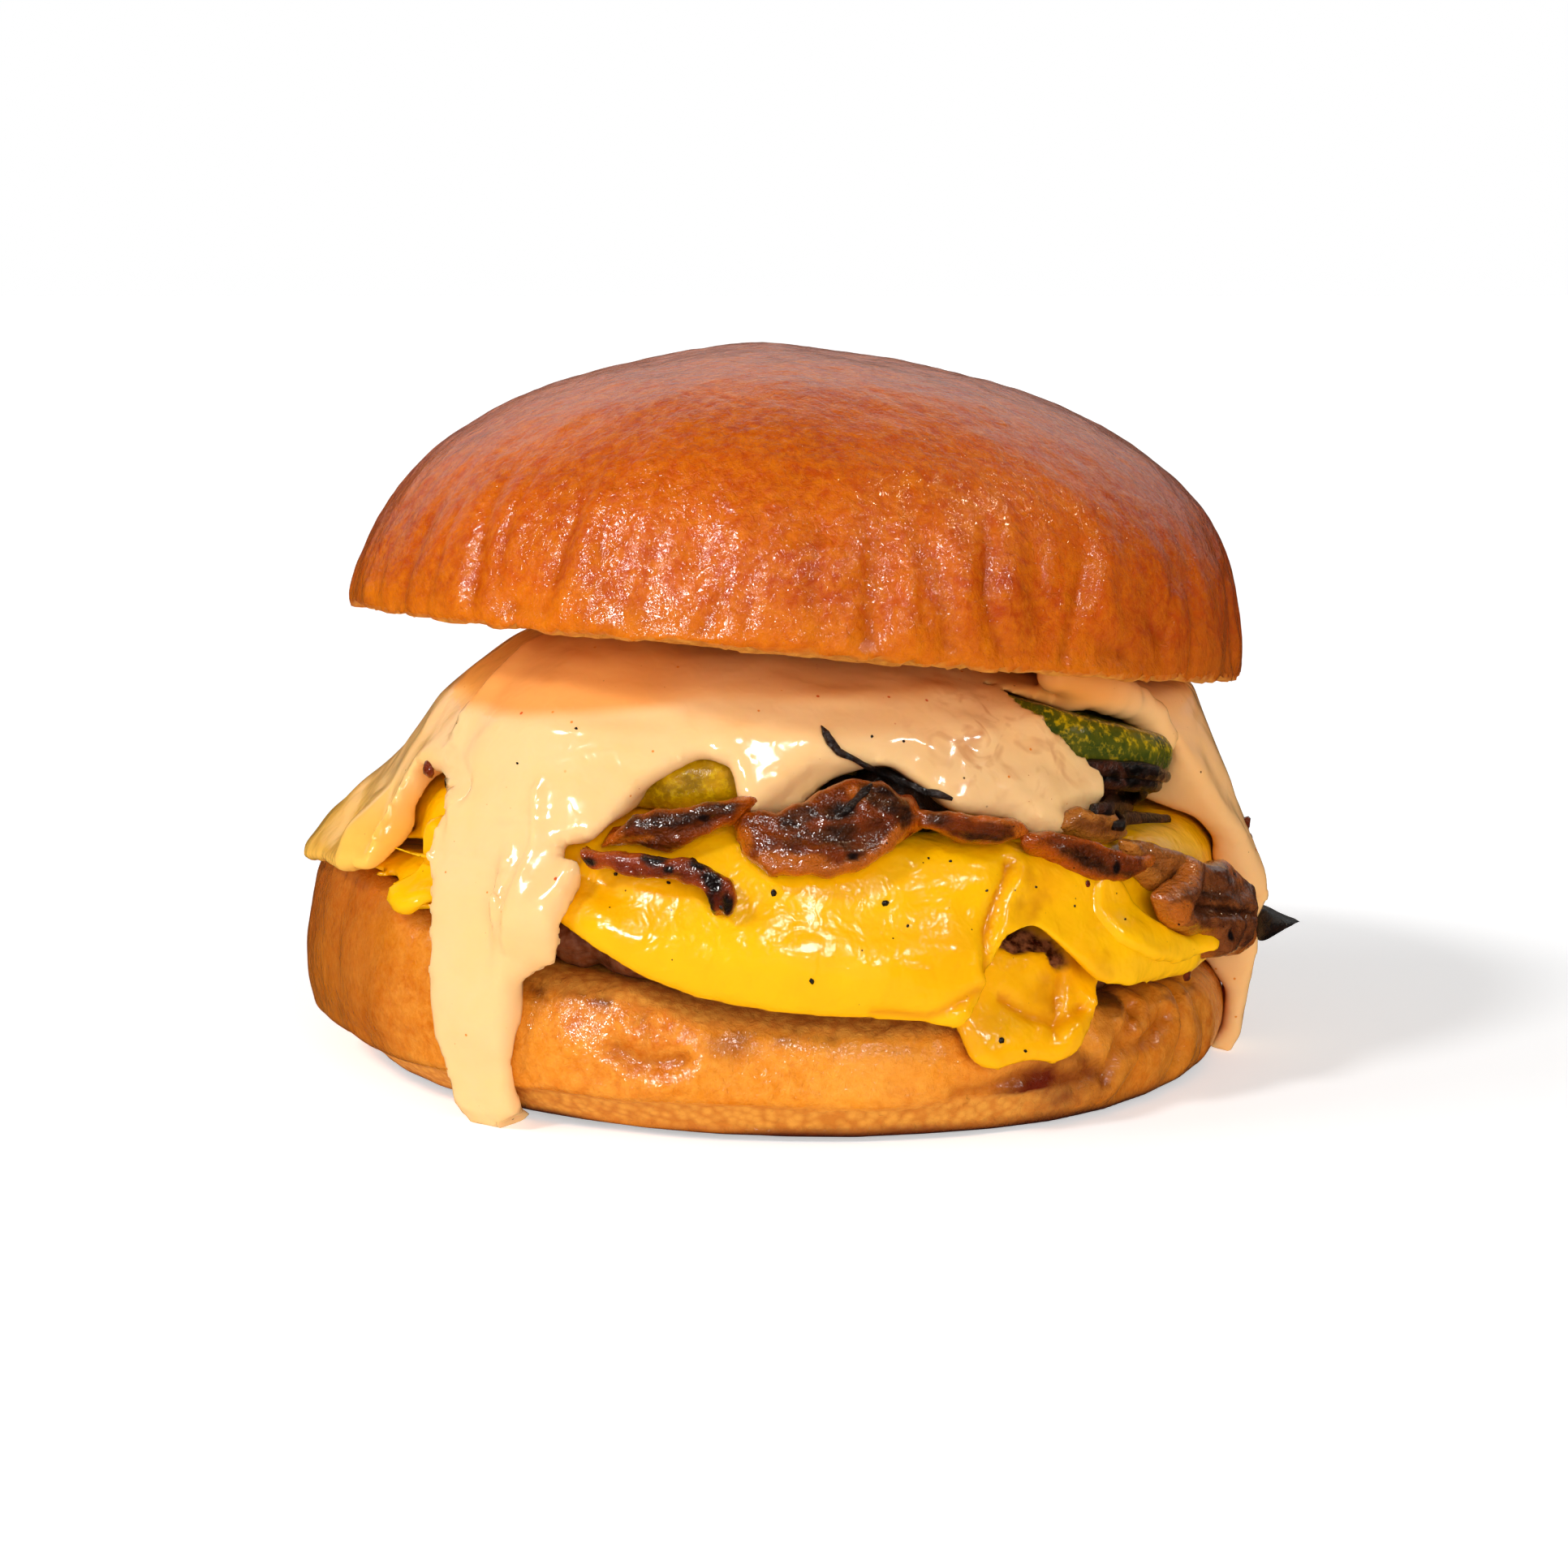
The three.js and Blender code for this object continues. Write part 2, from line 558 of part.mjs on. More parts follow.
const STRIP = {
  angle: -15.8, height: 30.6, length: 22, width: 3.8, thick: 3.2, turn: -2, seed: 11, ragged: 0.05,
  bend: { from: 5.2, radius: 2.6, turn: 78 }, sides: 22, square: 4,
};
const TIP = { angle: 83, height: 16, length: 6, width: 4.4, thick: 5.6, seed: 12, sides: 10, out: 0.4 };
const PICKLES = {
  pickle_left: { angle: -14, height: 39.4, from: 30.4, lean: [1, -3, 0], radius: 16.5, thick: 6.2 },
  pickle_right: { angle: 62, height: 41.6, from: 31.6, lean: [-3, 16, 0], radius: 18.6, thick: 7.4 },
};
const SPRIG = [[5.4, 44.6, 3.2], [8, 41.8, 3.4], [11.5, 40, 3], [16, 38.4, 3], [20.6, 37, 3.4]];

const toppings = {};
const laid = () => Object.values(toppings);
for (const [name, sizes] of Object.entries(PICKLES)) {
  toppings[name] = fit(pickle(sizes), [cheeseUpper], [...laid(), crown]);
}
const bed = fit(loft(fan(9), bedLayer.profile), [cheeseUpper], laid());
const layers = [heel, pattyLower, cheeseLower, pattyUpper, cheeseUpper, bed];
toppings.charred_strip = fit(slice(STRIP), layers, laid());
for (const [name, sizes] of Object.entries(SLICES)) {
  toppings[name] = fit(slice(sizes), layers, laid());
  if (name === "mushroom_large") {
    toppings[name] = toGeometry(toSolid(toppings[name]).add(toSolid(twig(SPRIG, 0.55))));
  }
}
toppings.charred_tip = fit(slice(TIP), layers, laid());
const core = loft(fan(9), coreProfile);
const sauce = fit(loft(fan(20, columns(SAUCE_EDGE)), sauceProfile), [core, ...layers], [...laid(), crown]);

function finish(color, roughness) {
  return new THREE.MeshStandardMaterial({ color, roughness, metalness: 0 });
}
const CRUST = finish(0xb5601c, 0.3);
const MEAT = finish(0x4a2b1c, 0.6);
const CHEESE = finish(0xf9bf06, 0.3);
const FRIED = finish(0x6e3513, 0.3);
const BURNT = finish(0x1a1412, 0.5);
const PICKLED = finish(0x8f8a12, 0.3);
const SAUCE = finish(0xf3c088, 0.25);

const burger = new THREE.Group();
function add(name, geometry, material) {
  const mesh = new THREE.Mesh(geometry, material);
  mesh.name = name;
  burger.add(mesh);
}
add("heel", heel, CRUST);
add("patty_lower", pattyLower, MEAT);
add("cheese_lower", cheeseLower, CHEESE);
add("patty_upper", pattyUpper, MEAT);
add("cheese_upper", cheeseUpper, CHEESE);
add("mushroom_bed", bed, BURNT);
for (const [name, geometry] of Object.entries(toppings)) {
  const pickled = name.startsWith("pickle");
  const burnt = name.startsWith("charred") || name.startsWith("herb");
  add(name, geometry, pickled ? PICKLED : burnt ? BURNT : FRIED);
}
add("sauce", sauce, SAUCE);
add("crown", crown, CRUST);

export default burger;
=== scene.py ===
import itertools
import math

import bmesh
import bpy
import numpy as np
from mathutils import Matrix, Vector
from mathutils.bvhtree import BVHTree


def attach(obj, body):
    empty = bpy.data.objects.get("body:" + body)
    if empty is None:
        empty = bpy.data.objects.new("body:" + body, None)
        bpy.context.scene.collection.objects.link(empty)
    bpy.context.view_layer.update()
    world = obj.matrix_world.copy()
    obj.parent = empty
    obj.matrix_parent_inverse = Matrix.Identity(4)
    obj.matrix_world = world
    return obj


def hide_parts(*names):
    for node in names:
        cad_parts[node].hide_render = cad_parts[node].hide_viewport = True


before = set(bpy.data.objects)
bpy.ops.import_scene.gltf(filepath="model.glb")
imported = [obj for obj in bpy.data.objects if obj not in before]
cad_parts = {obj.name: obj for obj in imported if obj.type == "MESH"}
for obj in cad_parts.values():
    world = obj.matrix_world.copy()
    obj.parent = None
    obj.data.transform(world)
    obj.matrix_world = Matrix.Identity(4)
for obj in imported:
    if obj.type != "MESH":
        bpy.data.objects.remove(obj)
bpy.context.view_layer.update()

# Lengths in this script are millimetres unless a name says otherwise; Blender's unit is the metre.
MM = 0.001

# Crown: middle of its cut face, and its lean in degrees about X and Y
CROWN_SEAT = (1.2, 0, 50)
CROWN_LEAN = (-4.1, 4.95)

# Camera: distance and height angle from the point that it looks at
CAMERA_AIM = (0, 0, 32)
CAMERA_DISTANCE = 400
CAMERA_ELEVATION = 8.8
CAMERA_LENS = 74.53

# Studio: brightness of the surroundings as soft light, and as mirrored in front of the food and behind it
WORLD_SOFT = 0.24
GLOSS_FRONT = 0.01
GLOSS_BACK = 0.75
FLOOR_GLOW = 0.45
WARM = (1.0, 0.98, 0.95)  # light from a window
AMBER_LIGHT = (1.0, 0.82, 0.55)

OUTER_RADIUS = 52  # radius at which angles round the burger's side are turned into lengths
DEGREE = OUTER_RADIUS * math.pi / 180  # length of one degree round the side
FAR_RADIUS = 75  # rays that look for a surface start out here and end at the near radius
NEAR_RADIUS = 25
SLICE_STEP = 0.36  # spacing of the points of a fried slice
FRONT_TURN = 0.4  # spacing in degrees and in height of the readings of a CAD node's front
FRONT_RISE = 0.36
FRONT_MARGIN = (1.5, 1.0)  # how far those readings go past a slice
CARRY_ROUNDS = 40  # rounds that carry the readings on past the node, fill its dents and soften it
FILL_ROUNDS = 14
SOFT_ROUNDS = 6


# Random patterns, the same each run


def lattice(cell, seed):
    """A fixed random number from 0 to 1 for each whole-number cell."""
    mixed = cell[..., 0] * 73856093 ^ cell[..., 1] * 19349663 ^ cell[..., 2] * 83492791 ^ seed * 26544357
    mixed = (mixed ^ (mixed >> 13)) & 0xFFFFFF
    mixed = mixed * 12741261 & 0xFFFFFFFF
    mixed = (mixed ^ (mixed >> 15)) * 7393 & 0xFFFFFFFF
    return ((mixed >> 8) & 0xFFFF) / 65535


def noise(points, size, seed):
    """Smooth random relief from -1 to 1, with features about that size."""
    turned = points @ np.array([[0.80, 0.36, 0.48], [-0.60, 0.48, 0.64], [0.0, -0.8, 0.6]])
    grid = turned / size + seed * 7.31
    cell = np.floor(grid).astype(np.int64)
    part = grid - cell
    part = part * part * (3 - 2 * part)
    total = np.zeros(len(points))
    for corner in itertools.product((0, 1), repeat=3):
        weight = np.prod(np.where(corner, part, 1 - part), axis=1)
        total += weight * lattice(cell + corner, seed)
    return total * 2 - 1


def rough(points, size, seed, octaves=3):
    """Noise with finer and weaker noise on it, each layer half the size and strength of the last."""
    shares = [0.5**k for k in range(octaves)]
    return sum(share * noise(points, size * share, seed + k) for k, share in enumerate(shares)) / sum(shares)


def cells(points, size, seed):
    """Distance to the nearest of scattered points, in cell sizes."""
    grid = points / size + seed * 3.17
    cell = np.floor(grid).astype(np.int64)
    nearest = np.full(len(points), 9.0)
    for step in itertools.product((-1, 0, 1), repeat=3):
        other = cell + step
        spot = other + np.column_stack([lattice(other, seed + k) for k in (1, 2, 3)])
        nearest = np.minimum(nearest, np.linalg.norm(grid - spot, axis=1))
    return nearest


def rise(low, high, value):
    """Smooth step from 0 at low to 1 at high."""
    part = np.clip((value - low) / (high - low), 0, 1)
    return part * part * (3 - 2 * part)


def near(value, centre, width):
    """Smooth hump of height 1 round a value."""
    return np.exp(-(((value - centre) / width) ** 2))


def span(value, up_from, up_to, down_from, down_to):
    """Smooth step from 0 to 1, and back to 0 further on."""
    return rise(up_from, up_to, value) * (1 - rise(down_from, down_to, value))


def place(angle, height, radius):
    """Point round the burger's axis: angle 0 is the front and 90 the right."""
    turn = math.radians(angle)
    return np.array([radius * math.sin(turn), -radius * math.cos(turn), height])


def angle_of(points):
    return np.degrees(np.arctan2(points[:, 0], -points[:, 1]))


def turned_by(points, degrees):
    """Points moved round the burger's axis, each by its own angle."""
    cos, sin = np.cos(np.radians(degrees)), np.sin(np.radians(degrees))
    x, y, z = points.T
    return np.column_stack([x * cos - y * sin, x * sin + y * cos, z])


def ring_of(points, lift=0.0):
    """Points moved to one circle at their own angle, for patterns that only run round the burger."""
    turn = np.radians(angle_of(points))
    return np.column_stack([OUTER_RADIUS * np.sin(turn), -OUTER_RADIUS * np.cos(turn), lift * points[:, 2]])


def path_distance(points, path):
    """Distance along the burger's side from a line of [angle, height] points, and how far right of it."""
    flat = np.column_stack([angle_of(points) * DEGREE, points[:, 2]])
    best = np.full(len(points), 99.0)
    side = np.zeros(len(points))
    line = np.array(path) * (DEGREE, 1)
    for start, end in zip(line, line[1:]):
        along = end - start
        part = np.clip((flat - start) @ along / (along @ along), 0, 1)
        gap = flat - (start + part[:, None] * along)
        distance = np.hypot(*gap.T)
        closer = distance < best
        best = np.where(closer, distance, best)
        side = np.where(closer, gap[:, 0], side)
    return best, side


def oval(points, angle, height, long, wide, turn=0.0):
    """Soft oval on the burger's side: 1 in its middle. Half its length and width, and its turn in degrees."""
    across = (angle_of(points) - angle) * DEGREE
    up = points[:, 2] - height
    cos, sin = math.cos(math.radians(turn)), math.sin(math.radians(turn))
    return np.exp(-(((across * cos + up * sin) / long) ** 2) - ((up * cos - across * sin) / wide) ** 2)


# Pieces and the surfaces that carry others

SURFACES = {}  # search tree of each finished shape, by node


def in_scene(name, data):
    """New object with that data, in the scene."""
    made = bpy.data.objects.new(name, data)
    bpy.context.scene.collection.objects.link(made)
    return made


def add_piece(piece, material, surface=None):
    """Gives a piece its material and slot on the burger. A named surface carries what is made after it."""
    piece.data.shade_smooth()
    piece.data.materials.clear()
    piece.data.materials.append(material)
    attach(piece, "root")
    if surface:
        bpy.context.view_layer.update()
        SURFACES[surface] = BVHTree.FromObject(piece, bpy.context.evaluated_depsgraph_get())


def reach(angle, height):
    """Radius of the outermost finished shape at an angle and height, or nothing."""
    start = Vector(place(angle, height, FAR_RADIUS) * MM)
    inward = (Vector((0, 0, height * MM)) - start).normalized()
    hits = [tree.ray_cast(start, inward, (FAR_RADIUS - NEAR_RADIUS) * MM)[3] for tree in SURFACES.values()]
    return max((FAR_RADIUS - hit / MM for hit in hits if hit is not None), default=None)


# Shapes: dense copies of the CAD nodes, modelled further


def drop_crumbs(mesh):
    """Keeps the largest connected part of a mesh."""
    whole = bmesh.new()
    whole.from_mesh(mesh)
    group = {}
    sizes = []
    for vert in whole.verts:
        if vert in group:
            continue
        group[vert] = len(sizes)
        waiting = [vert]
        size = 0
        while waiting:
            current = waiting.pop()
            size += 1
            for edge in current.link_edges:
                other = edge.other_vert(current)
                if other not in group:
                    group[other] = len(sizes)
                    waiting.append(other)
        sizes.append(size)
    largest = sizes.index(max(sizes))
    bmesh.ops.delete(whole, geom=[v for v in whole.verts if group[v] != largest], context="VERTS")
    whole.to_mesh(mesh)
    whole.free()


def dense_copy(node, voxel, fills=()):
    """An evenly meshed copy of a CAD node. Fills are balls of [angle, height, radius, size] added to it."""
    welded = bmesh.new()
    welded.from_mesh(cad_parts[node].data)
    bmesh.ops.remove_doubles(welded, verts=welded.verts, dist=0.01 * MM)
    for angle, height, radius, size in fills:
        ball = bmesh.ops.create_icosphere(welded, subdivisions=2, radius=size * MM)["verts"]
        bmesh.ops.translate(welded, verts=ball, vec=place(angle, height, radius) * MM)
    coarse = bpy.data.meshes.new(f"{node}_coarse")
    welded.to_mesh(coarse)
    welded.free()
    holder = in_scene(f"{node}_coarse", coarse)
    remesh = holder.modifiers.new("even", "REMESH")
    remesh.mode = "VOXEL"
    remesh.voxel_size = voxel * MM
    bpy.context.view_layer.update()
    graph = bpy.context.evaluated_depsgraph_get()
    dense = bpy.data.meshes.new_from_object(holder.evaluated_get(graph))
    bpy.data.objects.remove(holder)
    bpy.data.meshes.remove(coarse)
    drop_crumbs(dense)
    return dense


class Shape:
    """A dense mesh that replaces a CAD node, whose points are moved in millimetres."""

    def __init__(self, node, mesh):
        self.node = node
        self.mesh = mesh
        self.object = in_scene(f"{node}_food", mesh)
        self.points = np.zeros(len(mesh.vertices) * 3)
        mesh.vertices.foreach_get("co", self.points)
        self.points = self.points.reshape(-1, 3) / MM
        pairs = np.zeros(len(mesh.edges) * 2, np.int64)
        mesh.edges.foreach_get("vertices", pairs)
        self.edges = pairs.reshape(-1, 2)

    @property
    def x(self):
        return self.points[:, 0]

    @property
    def y(self):
        return self.points[:, 1]

    @property
    def z(self):
        return self.points[:, 2]

    def store(self):
        self.mesh.vertices.foreach_set("co", (self.points * MM).ravel())
        self.mesh.update()

    def normals(self):
        self.store()
        values = np.zeros(len(self.points) * 3)
        self.mesh.vertex_normals.foreach_get("vector", values)
        return values.reshape(-1, 3)

    def averaged(self, rounds, amount=0.5):
        """Points blended with their neighbours along the mesh, a number of times."""
        count = np.maximum(np.bincount(self.edges.ravel(), minlength=len(self.points)), 1)
        first, second = self.edges.T
        blended = np.array(self.points)
        for _ in range(rounds):
            for column in blended.T:
                total = np.bincount(first, column[second], len(column))
                total += np.bincount(second, column[first], len(column))
                column += amount * (total / count - column)
        return blended

    def smooth(self, rounds, where=1.0):
        self.points = self.averaged(rounds, 0.5 * where)

    def soften(self, rounds):
        """Smooths small unevenness away and keeps the size of what is larger."""
        for _ in range(rounds):
            self.points = self.averaged(1, 0.5)
            self.points = self.averaged(1, -0.52)

    def push(self, amount):
        """Moves the points out along their normals."""
        self.points = self.points + self.normals() * np.asarray(amount)[:, None]

    def mask(self, name, values):
        """Keeps a value from 0 to 1 at each point for the material."""
        attribute = self.mesh.attributes.new(name, "FLOAT", "POINT")
        attribute.data.foreach_set("value", np.clip(values, 0, 1).astype(np.float32))

    def hollows(self, rounds, depth):
        """1 in creases and pits that are about this deep, 0 on ridges."""
        even = self.averaged(rounds)
        out = np.einsum("ij,ij->i", self.points - even, self.normals())
        return np.clip(0.5 - out / (2 * depth), 0, 1)

    def finish(self, material):
        self.store()
        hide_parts(self.node)
        add_piece(self.object, material, self.node)


# Materials


def tone(red, green, blue):
    """Screen colour from 0 to 255 as the linear colour that Blender mixes."""
    parts = [c / 255 for c in (red, green, blue)]
    linear = [c / 12.92 if c <= 0.04045 else ((c + 0.055) / 1.055) ** 2.4 for c in parts]
    return (*linear, 1.0)


class Nodes:
    """A node tree that is built node by node. Its sockets take numbers, colours or other nodes' outputs."""

    def __init__(self, tree):
        self.tree = tree
        tree.nodes.clear()

    def feed(self, socket, value):
        if isinstance(value, bpy.types.NodeSocket):
            self.tree.links.new(value, socket)
        else:
            socket.default_value = value

    def node(self, kind, sockets=None, **settings):
        made = self.tree.nodes.new(kind)
        for key, value in settings.items():
            setattr(made, key, value)
        for socket, value in (sockets or {}).items():
            self.feed(made.inputs[socket], value)
        return made

    def math(self, operation, first, second):
        return self.node("ShaderNodeMath", {0: first, 1: second}, operation=operation).outputs[0]

    def between(self, value, low, high, out_low=0.0, out_high=1.0):
        """A value spread from one range over another, and kept inside it."""
        sockets = {"Value": value, "From Min": low, "From Max": high, "To Min": out_low, "To Max": out_high}
        return self.node("ShaderNodeMapRange", sockets, clamp=True).outputs[0]


class Paint(Nodes):
    """One procedural material round a Principled shader."""

    def __init__(self, name, roughness, specular, coat=0.0, coat_roughness=0.1):
        self.material = bpy.data.materials.new(name)
        self.material.use_nodes = True
        super().__init__(self.material.node_tree)
        self.shader = self.node("ShaderNodeBsdfPrincipled")
        self.node("ShaderNodeOutputMaterial", {"Surface": self.shader.outputs[0]})
        self.where = self.node("ShaderNodeTexCoord").outputs["Object"]
        self.set("Roughness", roughness)
        self.set("Specular IOR Level", specular)
        self.set("Coat Weight", coat)
        self.set("Coat Roughness", coat_roughness)

    def set(self, socket, value):
        self.feed(self.shader.inputs[socket], value)

    def glow_through(self, weight, radius, scale):
        """Light that spreads under the surface. Radius is for red, green and blue, scale in millimetres."""
        self.set("Subsurface Weight", weight)
        self.set("Subsurface Radius", radius)
        self.set("Subsurface Scale", scale * MM)

    def noise(self, size, detail=2, roughness=0.5, distortion=0.0, stretch=None):
        """Noise with features about that size, stretched along X and Y."""
        where = self.where
        if stretch:
            squeezed = (1 / stretch, 1 / stretch, 1)
            where = self.node("ShaderNodeMapping", {"Vector": where, "Scale": squeezed}).outputs[0]
        sockets = {"Vector": where, "Scale": 1 / (size * MM), "Detail": detail}
        sockets |= {"Roughness": roughness, "Distortion": distortion}
        return self.node("ShaderNodeTexNoise", sockets).outputs[0]

    def patches(self, low, high, *noise):
        """Noise as patches: 0 where it is under low and 1 over high."""
        return self.between(self.noise(*noise), low, high)

    def spots(self, size, reach, share):
        """1 inside small scattered spots. Reach is their radius and share how many cells have one."""
        made = self.node("ShaderNodeTexVoronoi", {"Vector": self.where, "Scale": 1 / (size * MM)})
        inside = self.between(made.outputs["Distance"], reach / size, 0.6 * reach / size)
        split = self.node("ShaderNodeSeparateColor", {0: made.outputs["Color"]})
        return self.math("MULTIPLY", inside, self.between(split.outputs[0], 1 - share, 1 - share + 0.02))

    def pits(self, size):
        sockets = {"Vector": self.where, "Scale": 1 / (size * MM), "Smoothness": 0.3}
        return self.node("ShaderNodeTexVoronoi", sockets, feature="SMOOTH_F1").outputs["Distance"]

    def mask(self, name):
        """Value that a shape keeps at each of its points."""
        return self.node("ShaderNodeAttribute", attribute_name=name).outputs["Fac"]

    def mix(self, amount, first, second):
        made = self.node("ShaderNodeMix", {0: amount}, data_type="RGBA")
        for socket, value in zip([s for s in made.inputs if s.type == "RGBA"], (first, second)):
            self.feed(socket, value)
        return [s for s in made.outputs if s.type == "RGBA"][0]

    def layers(self, colour, *parts):
        """Colours laid over one another. Each part is a pattern or a mask's name, a strength and a colour."""
        for pattern, strength, over in parts:
            amount = self.mask(pattern) if isinstance(pattern, str) else pattern
            if strength < 1:
                amount = self.math("MULTIPLY", amount, strength)
            colour = self.mix(amount, colour, over)
        return colour

    def relief(self, *parts):
        """Bumps laid on one another, each the depth in millimetres and the noise that makes it."""
        normal = None
        for depth, *noise in parts:
            sockets = {"Height": self.noise(*noise), "Distance": depth * MM, "Strength": 1.0}
            if normal is not None:
                sockets["Normal"] = normal
            normal = self.node("ShaderNodeBump", sockets).outputs[0]
        return normal

    def done(self, colour, normal):
        self.set("Base Color", colour)
        self.set("Normal", normal)
        return self.material


def crust_paint(name, dark, middle, light, deep):
    """Baked brioche skin over a torn crumb. Its deep tone is painted shade, laid on the shaded sides, low
    down and in the creases.
    """
    paint = Paint(name, 0.3, 0.12, 0.7)
    pores = paint.between(paint.pits(1.1), 0.25, 0.75)
    # The deep and crease layers are painted shade
    colour = paint.layers(
        dark, (paint.patches(0.35, 0.68, 14, 3, 0.55), 1, middle),
        (paint.patches(0.36, 0.66, 1.6, 4, 0.65, 0.4), 0.55, light),
        (paint.patches(0.5, 0.72, 0.55, 2, 0.6), 0.35, dark), ("pale", 1, light), ("deep", 1, deep),
        ("crease", 0.5, deep), ("red", 1, tone(104, 28, 6)),
        ("crumb", 1, paint.mix(pores, tone(226, 152, 58), tone(204, 122, 40))),
        ("stain", 1, tone(58, 22, 5)), ("burnt", 1, tone(78, 30, 12)),
    )
    paint.set("Coat Normal", paint.relief((0.3, 3.2, 2, 0.5, 0.5), (0.14, 0.8, 2, 0.6, 1.0)))
    paint.set("Coat Weight", paint.between(paint.mask("crumb"), 0, 1, 0.7, 0))
    paint.set("Roughness", paint.between(paint.mask("crumb"), 0, 1, 0.26, 0.85))
    return paint.done(colour, paint.relief((0.5, 2.6, 2, 0.5, 0.5), (0.22, 0.7, 3, 0.65, 1.2)))


def cheese_paint(name, base, shade):
    paint = Paint(name, 0.2, 0.4, 0.15, 0.05)
    paint.glow_through(0.2, (1.0, 0.45, 0.05), 1.4)
    meat = paint.mix(paint.patches(0.4, 0.62, 1.1, 3, 0.6), tone(52, 18, 6), tone(140, 84, 50))
    # Painted shade: deeper orange in the creases
    colour = paint.layers(
        base, (paint.patches(0.4, 0.7, 11, 2, 0.5), 0.5, shade), ("crease", 0.75, tone(214, 118, 0)),
        ("grease", 1, tone(176, 84, 6)), ("meat", 1, meat),
        (paint.spots(1.7, 0.13, 0.16), 1, tone(70, 34, 8)),
        (paint.spots(0.9, 0.07, 0.12), 1, tone(120, 58, 6)),
    )
    return paint.done(colour, paint.relief((0.3, 2.4, 2, 0.45, 0.3), (0.03, 0.7, 1, 0.5)))


def beef_paint():
    paint = Paint("beef_paint", 0.35, 0.45)
    # Painted shade: darker brown in the hollows
    colour = paint.layers(
        tone(96, 40, 10), (paint.patches(0.35, 0.7, 3.2, 3, 0.6), 1, tone(150, 80, 36)),
        (paint.patches(0.4, 0.7, 0.8, 3, 0.6), 0.5, tone(150, 104, 78)), ("crease", 0.8, tone(38, 14, 6)),
    )
    return paint.done(colour, paint.relief((0.3, 1.1, 4, 0.65, 0.4)))


def fried_paint(name, dark, light, rim):
    """Fried slices: brown and wet, paler and see-through at the rim, with burnt spots, and painted shade in
    the creases.
    """
    paint = Paint(name, 0.3, 0.15, 0.9, 0.08)
    paint.glow_through(0.08, (1.0, 0.3, 0.05), 0.9)
    fibres = paint.patches(0.36, 0.68, 0.9, 3, 0.6, 0.8, 2.5)
    colour = paint.layers(
        dark, (paint.patches(0.36, 0.66, 3.6, 3, 0.6, 0.6), 1, light), ("amber", 0.85, tone(184, 92, 12)),
        ("dark", 0.95, tone(26, 8, 2)), (fibres, 0.25, tone(140, 68, 18)), ("crease", 0.5, tone(48, 16, 4)),
        ("rim", 0.7, rim), ("burnt", 1, tone(20, 9, 7)), (paint.spots(1.4, 0.14, 0.2), 1, tone(24, 9, 6)),
    )
    paint.set("Coat Normal", paint.relief((0.45, 1.8, 3, 0.6, 0.6)))
    return paint.done(colour, paint.relief((0.7, 1.3, 3, 0.6, 0.8, 1.8), (0.34, 0.5, 2, 0.6)))


def char_paint(name, dark, light):
    paint = Paint(name, 0.25, 0.45)
    colour = paint.layers(dark, (paint.patches(0.42, 0.68, 2.6, 4, 0.6, 0.6), 1, light))
    return paint.done(colour, paint.relief((0.7, 1.0, 4, 0.65, 0.5)))


def pickle_paint(name, flesh, seeds, rind):
    paint = Paint(name, 0.25, 0.4, 0.1)
    paint.glow_through(0.3, (0.9, 0.8, 0.15), 1.2)
    colour = paint.layers(
        flesh, (paint.patches(0.36, 0.66, 4, 3, 0.6), 1, rind),
        (paint.patches(0.5, 0.68, 0.8, 3, 0.6), 0.7, seeds), ("rind", 1, rind),
    )
    return paint.done(colour, paint.relief((0.16, 0.9, 3, 0.6)))


def sauce_paint():
    """Poured sauce: specks in four sizes, brown streaks where the mesh says it is lumpy, and painted shade
    where its shade mask says so.
    """
    paint = Paint("sauce_paint", 0.13, 0.5)
    paint.glow_through(0.3, (1.0, 0.5, 0.2), 2.0)
    streaks = paint.math("MULTIPLY", paint.patches(0.5, 0.66, 3.4, 2, 0.5, 1.0), paint.mask("lumpy"))
    colour = paint.layers(
        tone(244, 198, 138), (paint.patches(0.4, 0.72, 9, 2, 0.5, 0.4), 0.4, tone(245, 190, 116)),
        (streaks, 1, tone(206, 140, 86)), ("shade", 1, tone(236, 152, 70)), ("wing", 1, tone(252, 184, 66)),
        (paint.spots(2.3, 0.2, 0.35), 1, tone(226, 132, 48)),
        (paint.spots(4.1, 0.26, 0.22), 1, tone(206, 84, 30)),
        (paint.spots(3.3, 0.17, 0.25), 1, tone(96, 62, 36)),
        (paint.spots(1.3, 0.08, 0.2), 1, tone(200, 120, 60)),
    )
    return paint.done(colour, paint.relief((0.7, 5.5, 1, 0.4, 0.6, 1.6), (0.07, 1.9, 1, 0.4, 0.5)))


# Crown


def crown_frame(points):
    """Points in the crown's own frame, where its cut face is level at height 0."""
    tilt, roll = (math.radians(a) for a in CROWN_LEAN)
    (up, out), (down, over) = ((math.cos(a), math.sin(a)) for a in (tilt, roll))
    about_x = np.array([[1, 0, 0], [0, up, -out], [0, out, up]])
    about_y = np.array([[down, 0, over], [0, 1, 0], [-over, 0, down]])
    return (points - np.array(CROWN_SEAT)) @ (about_y @ about_x)


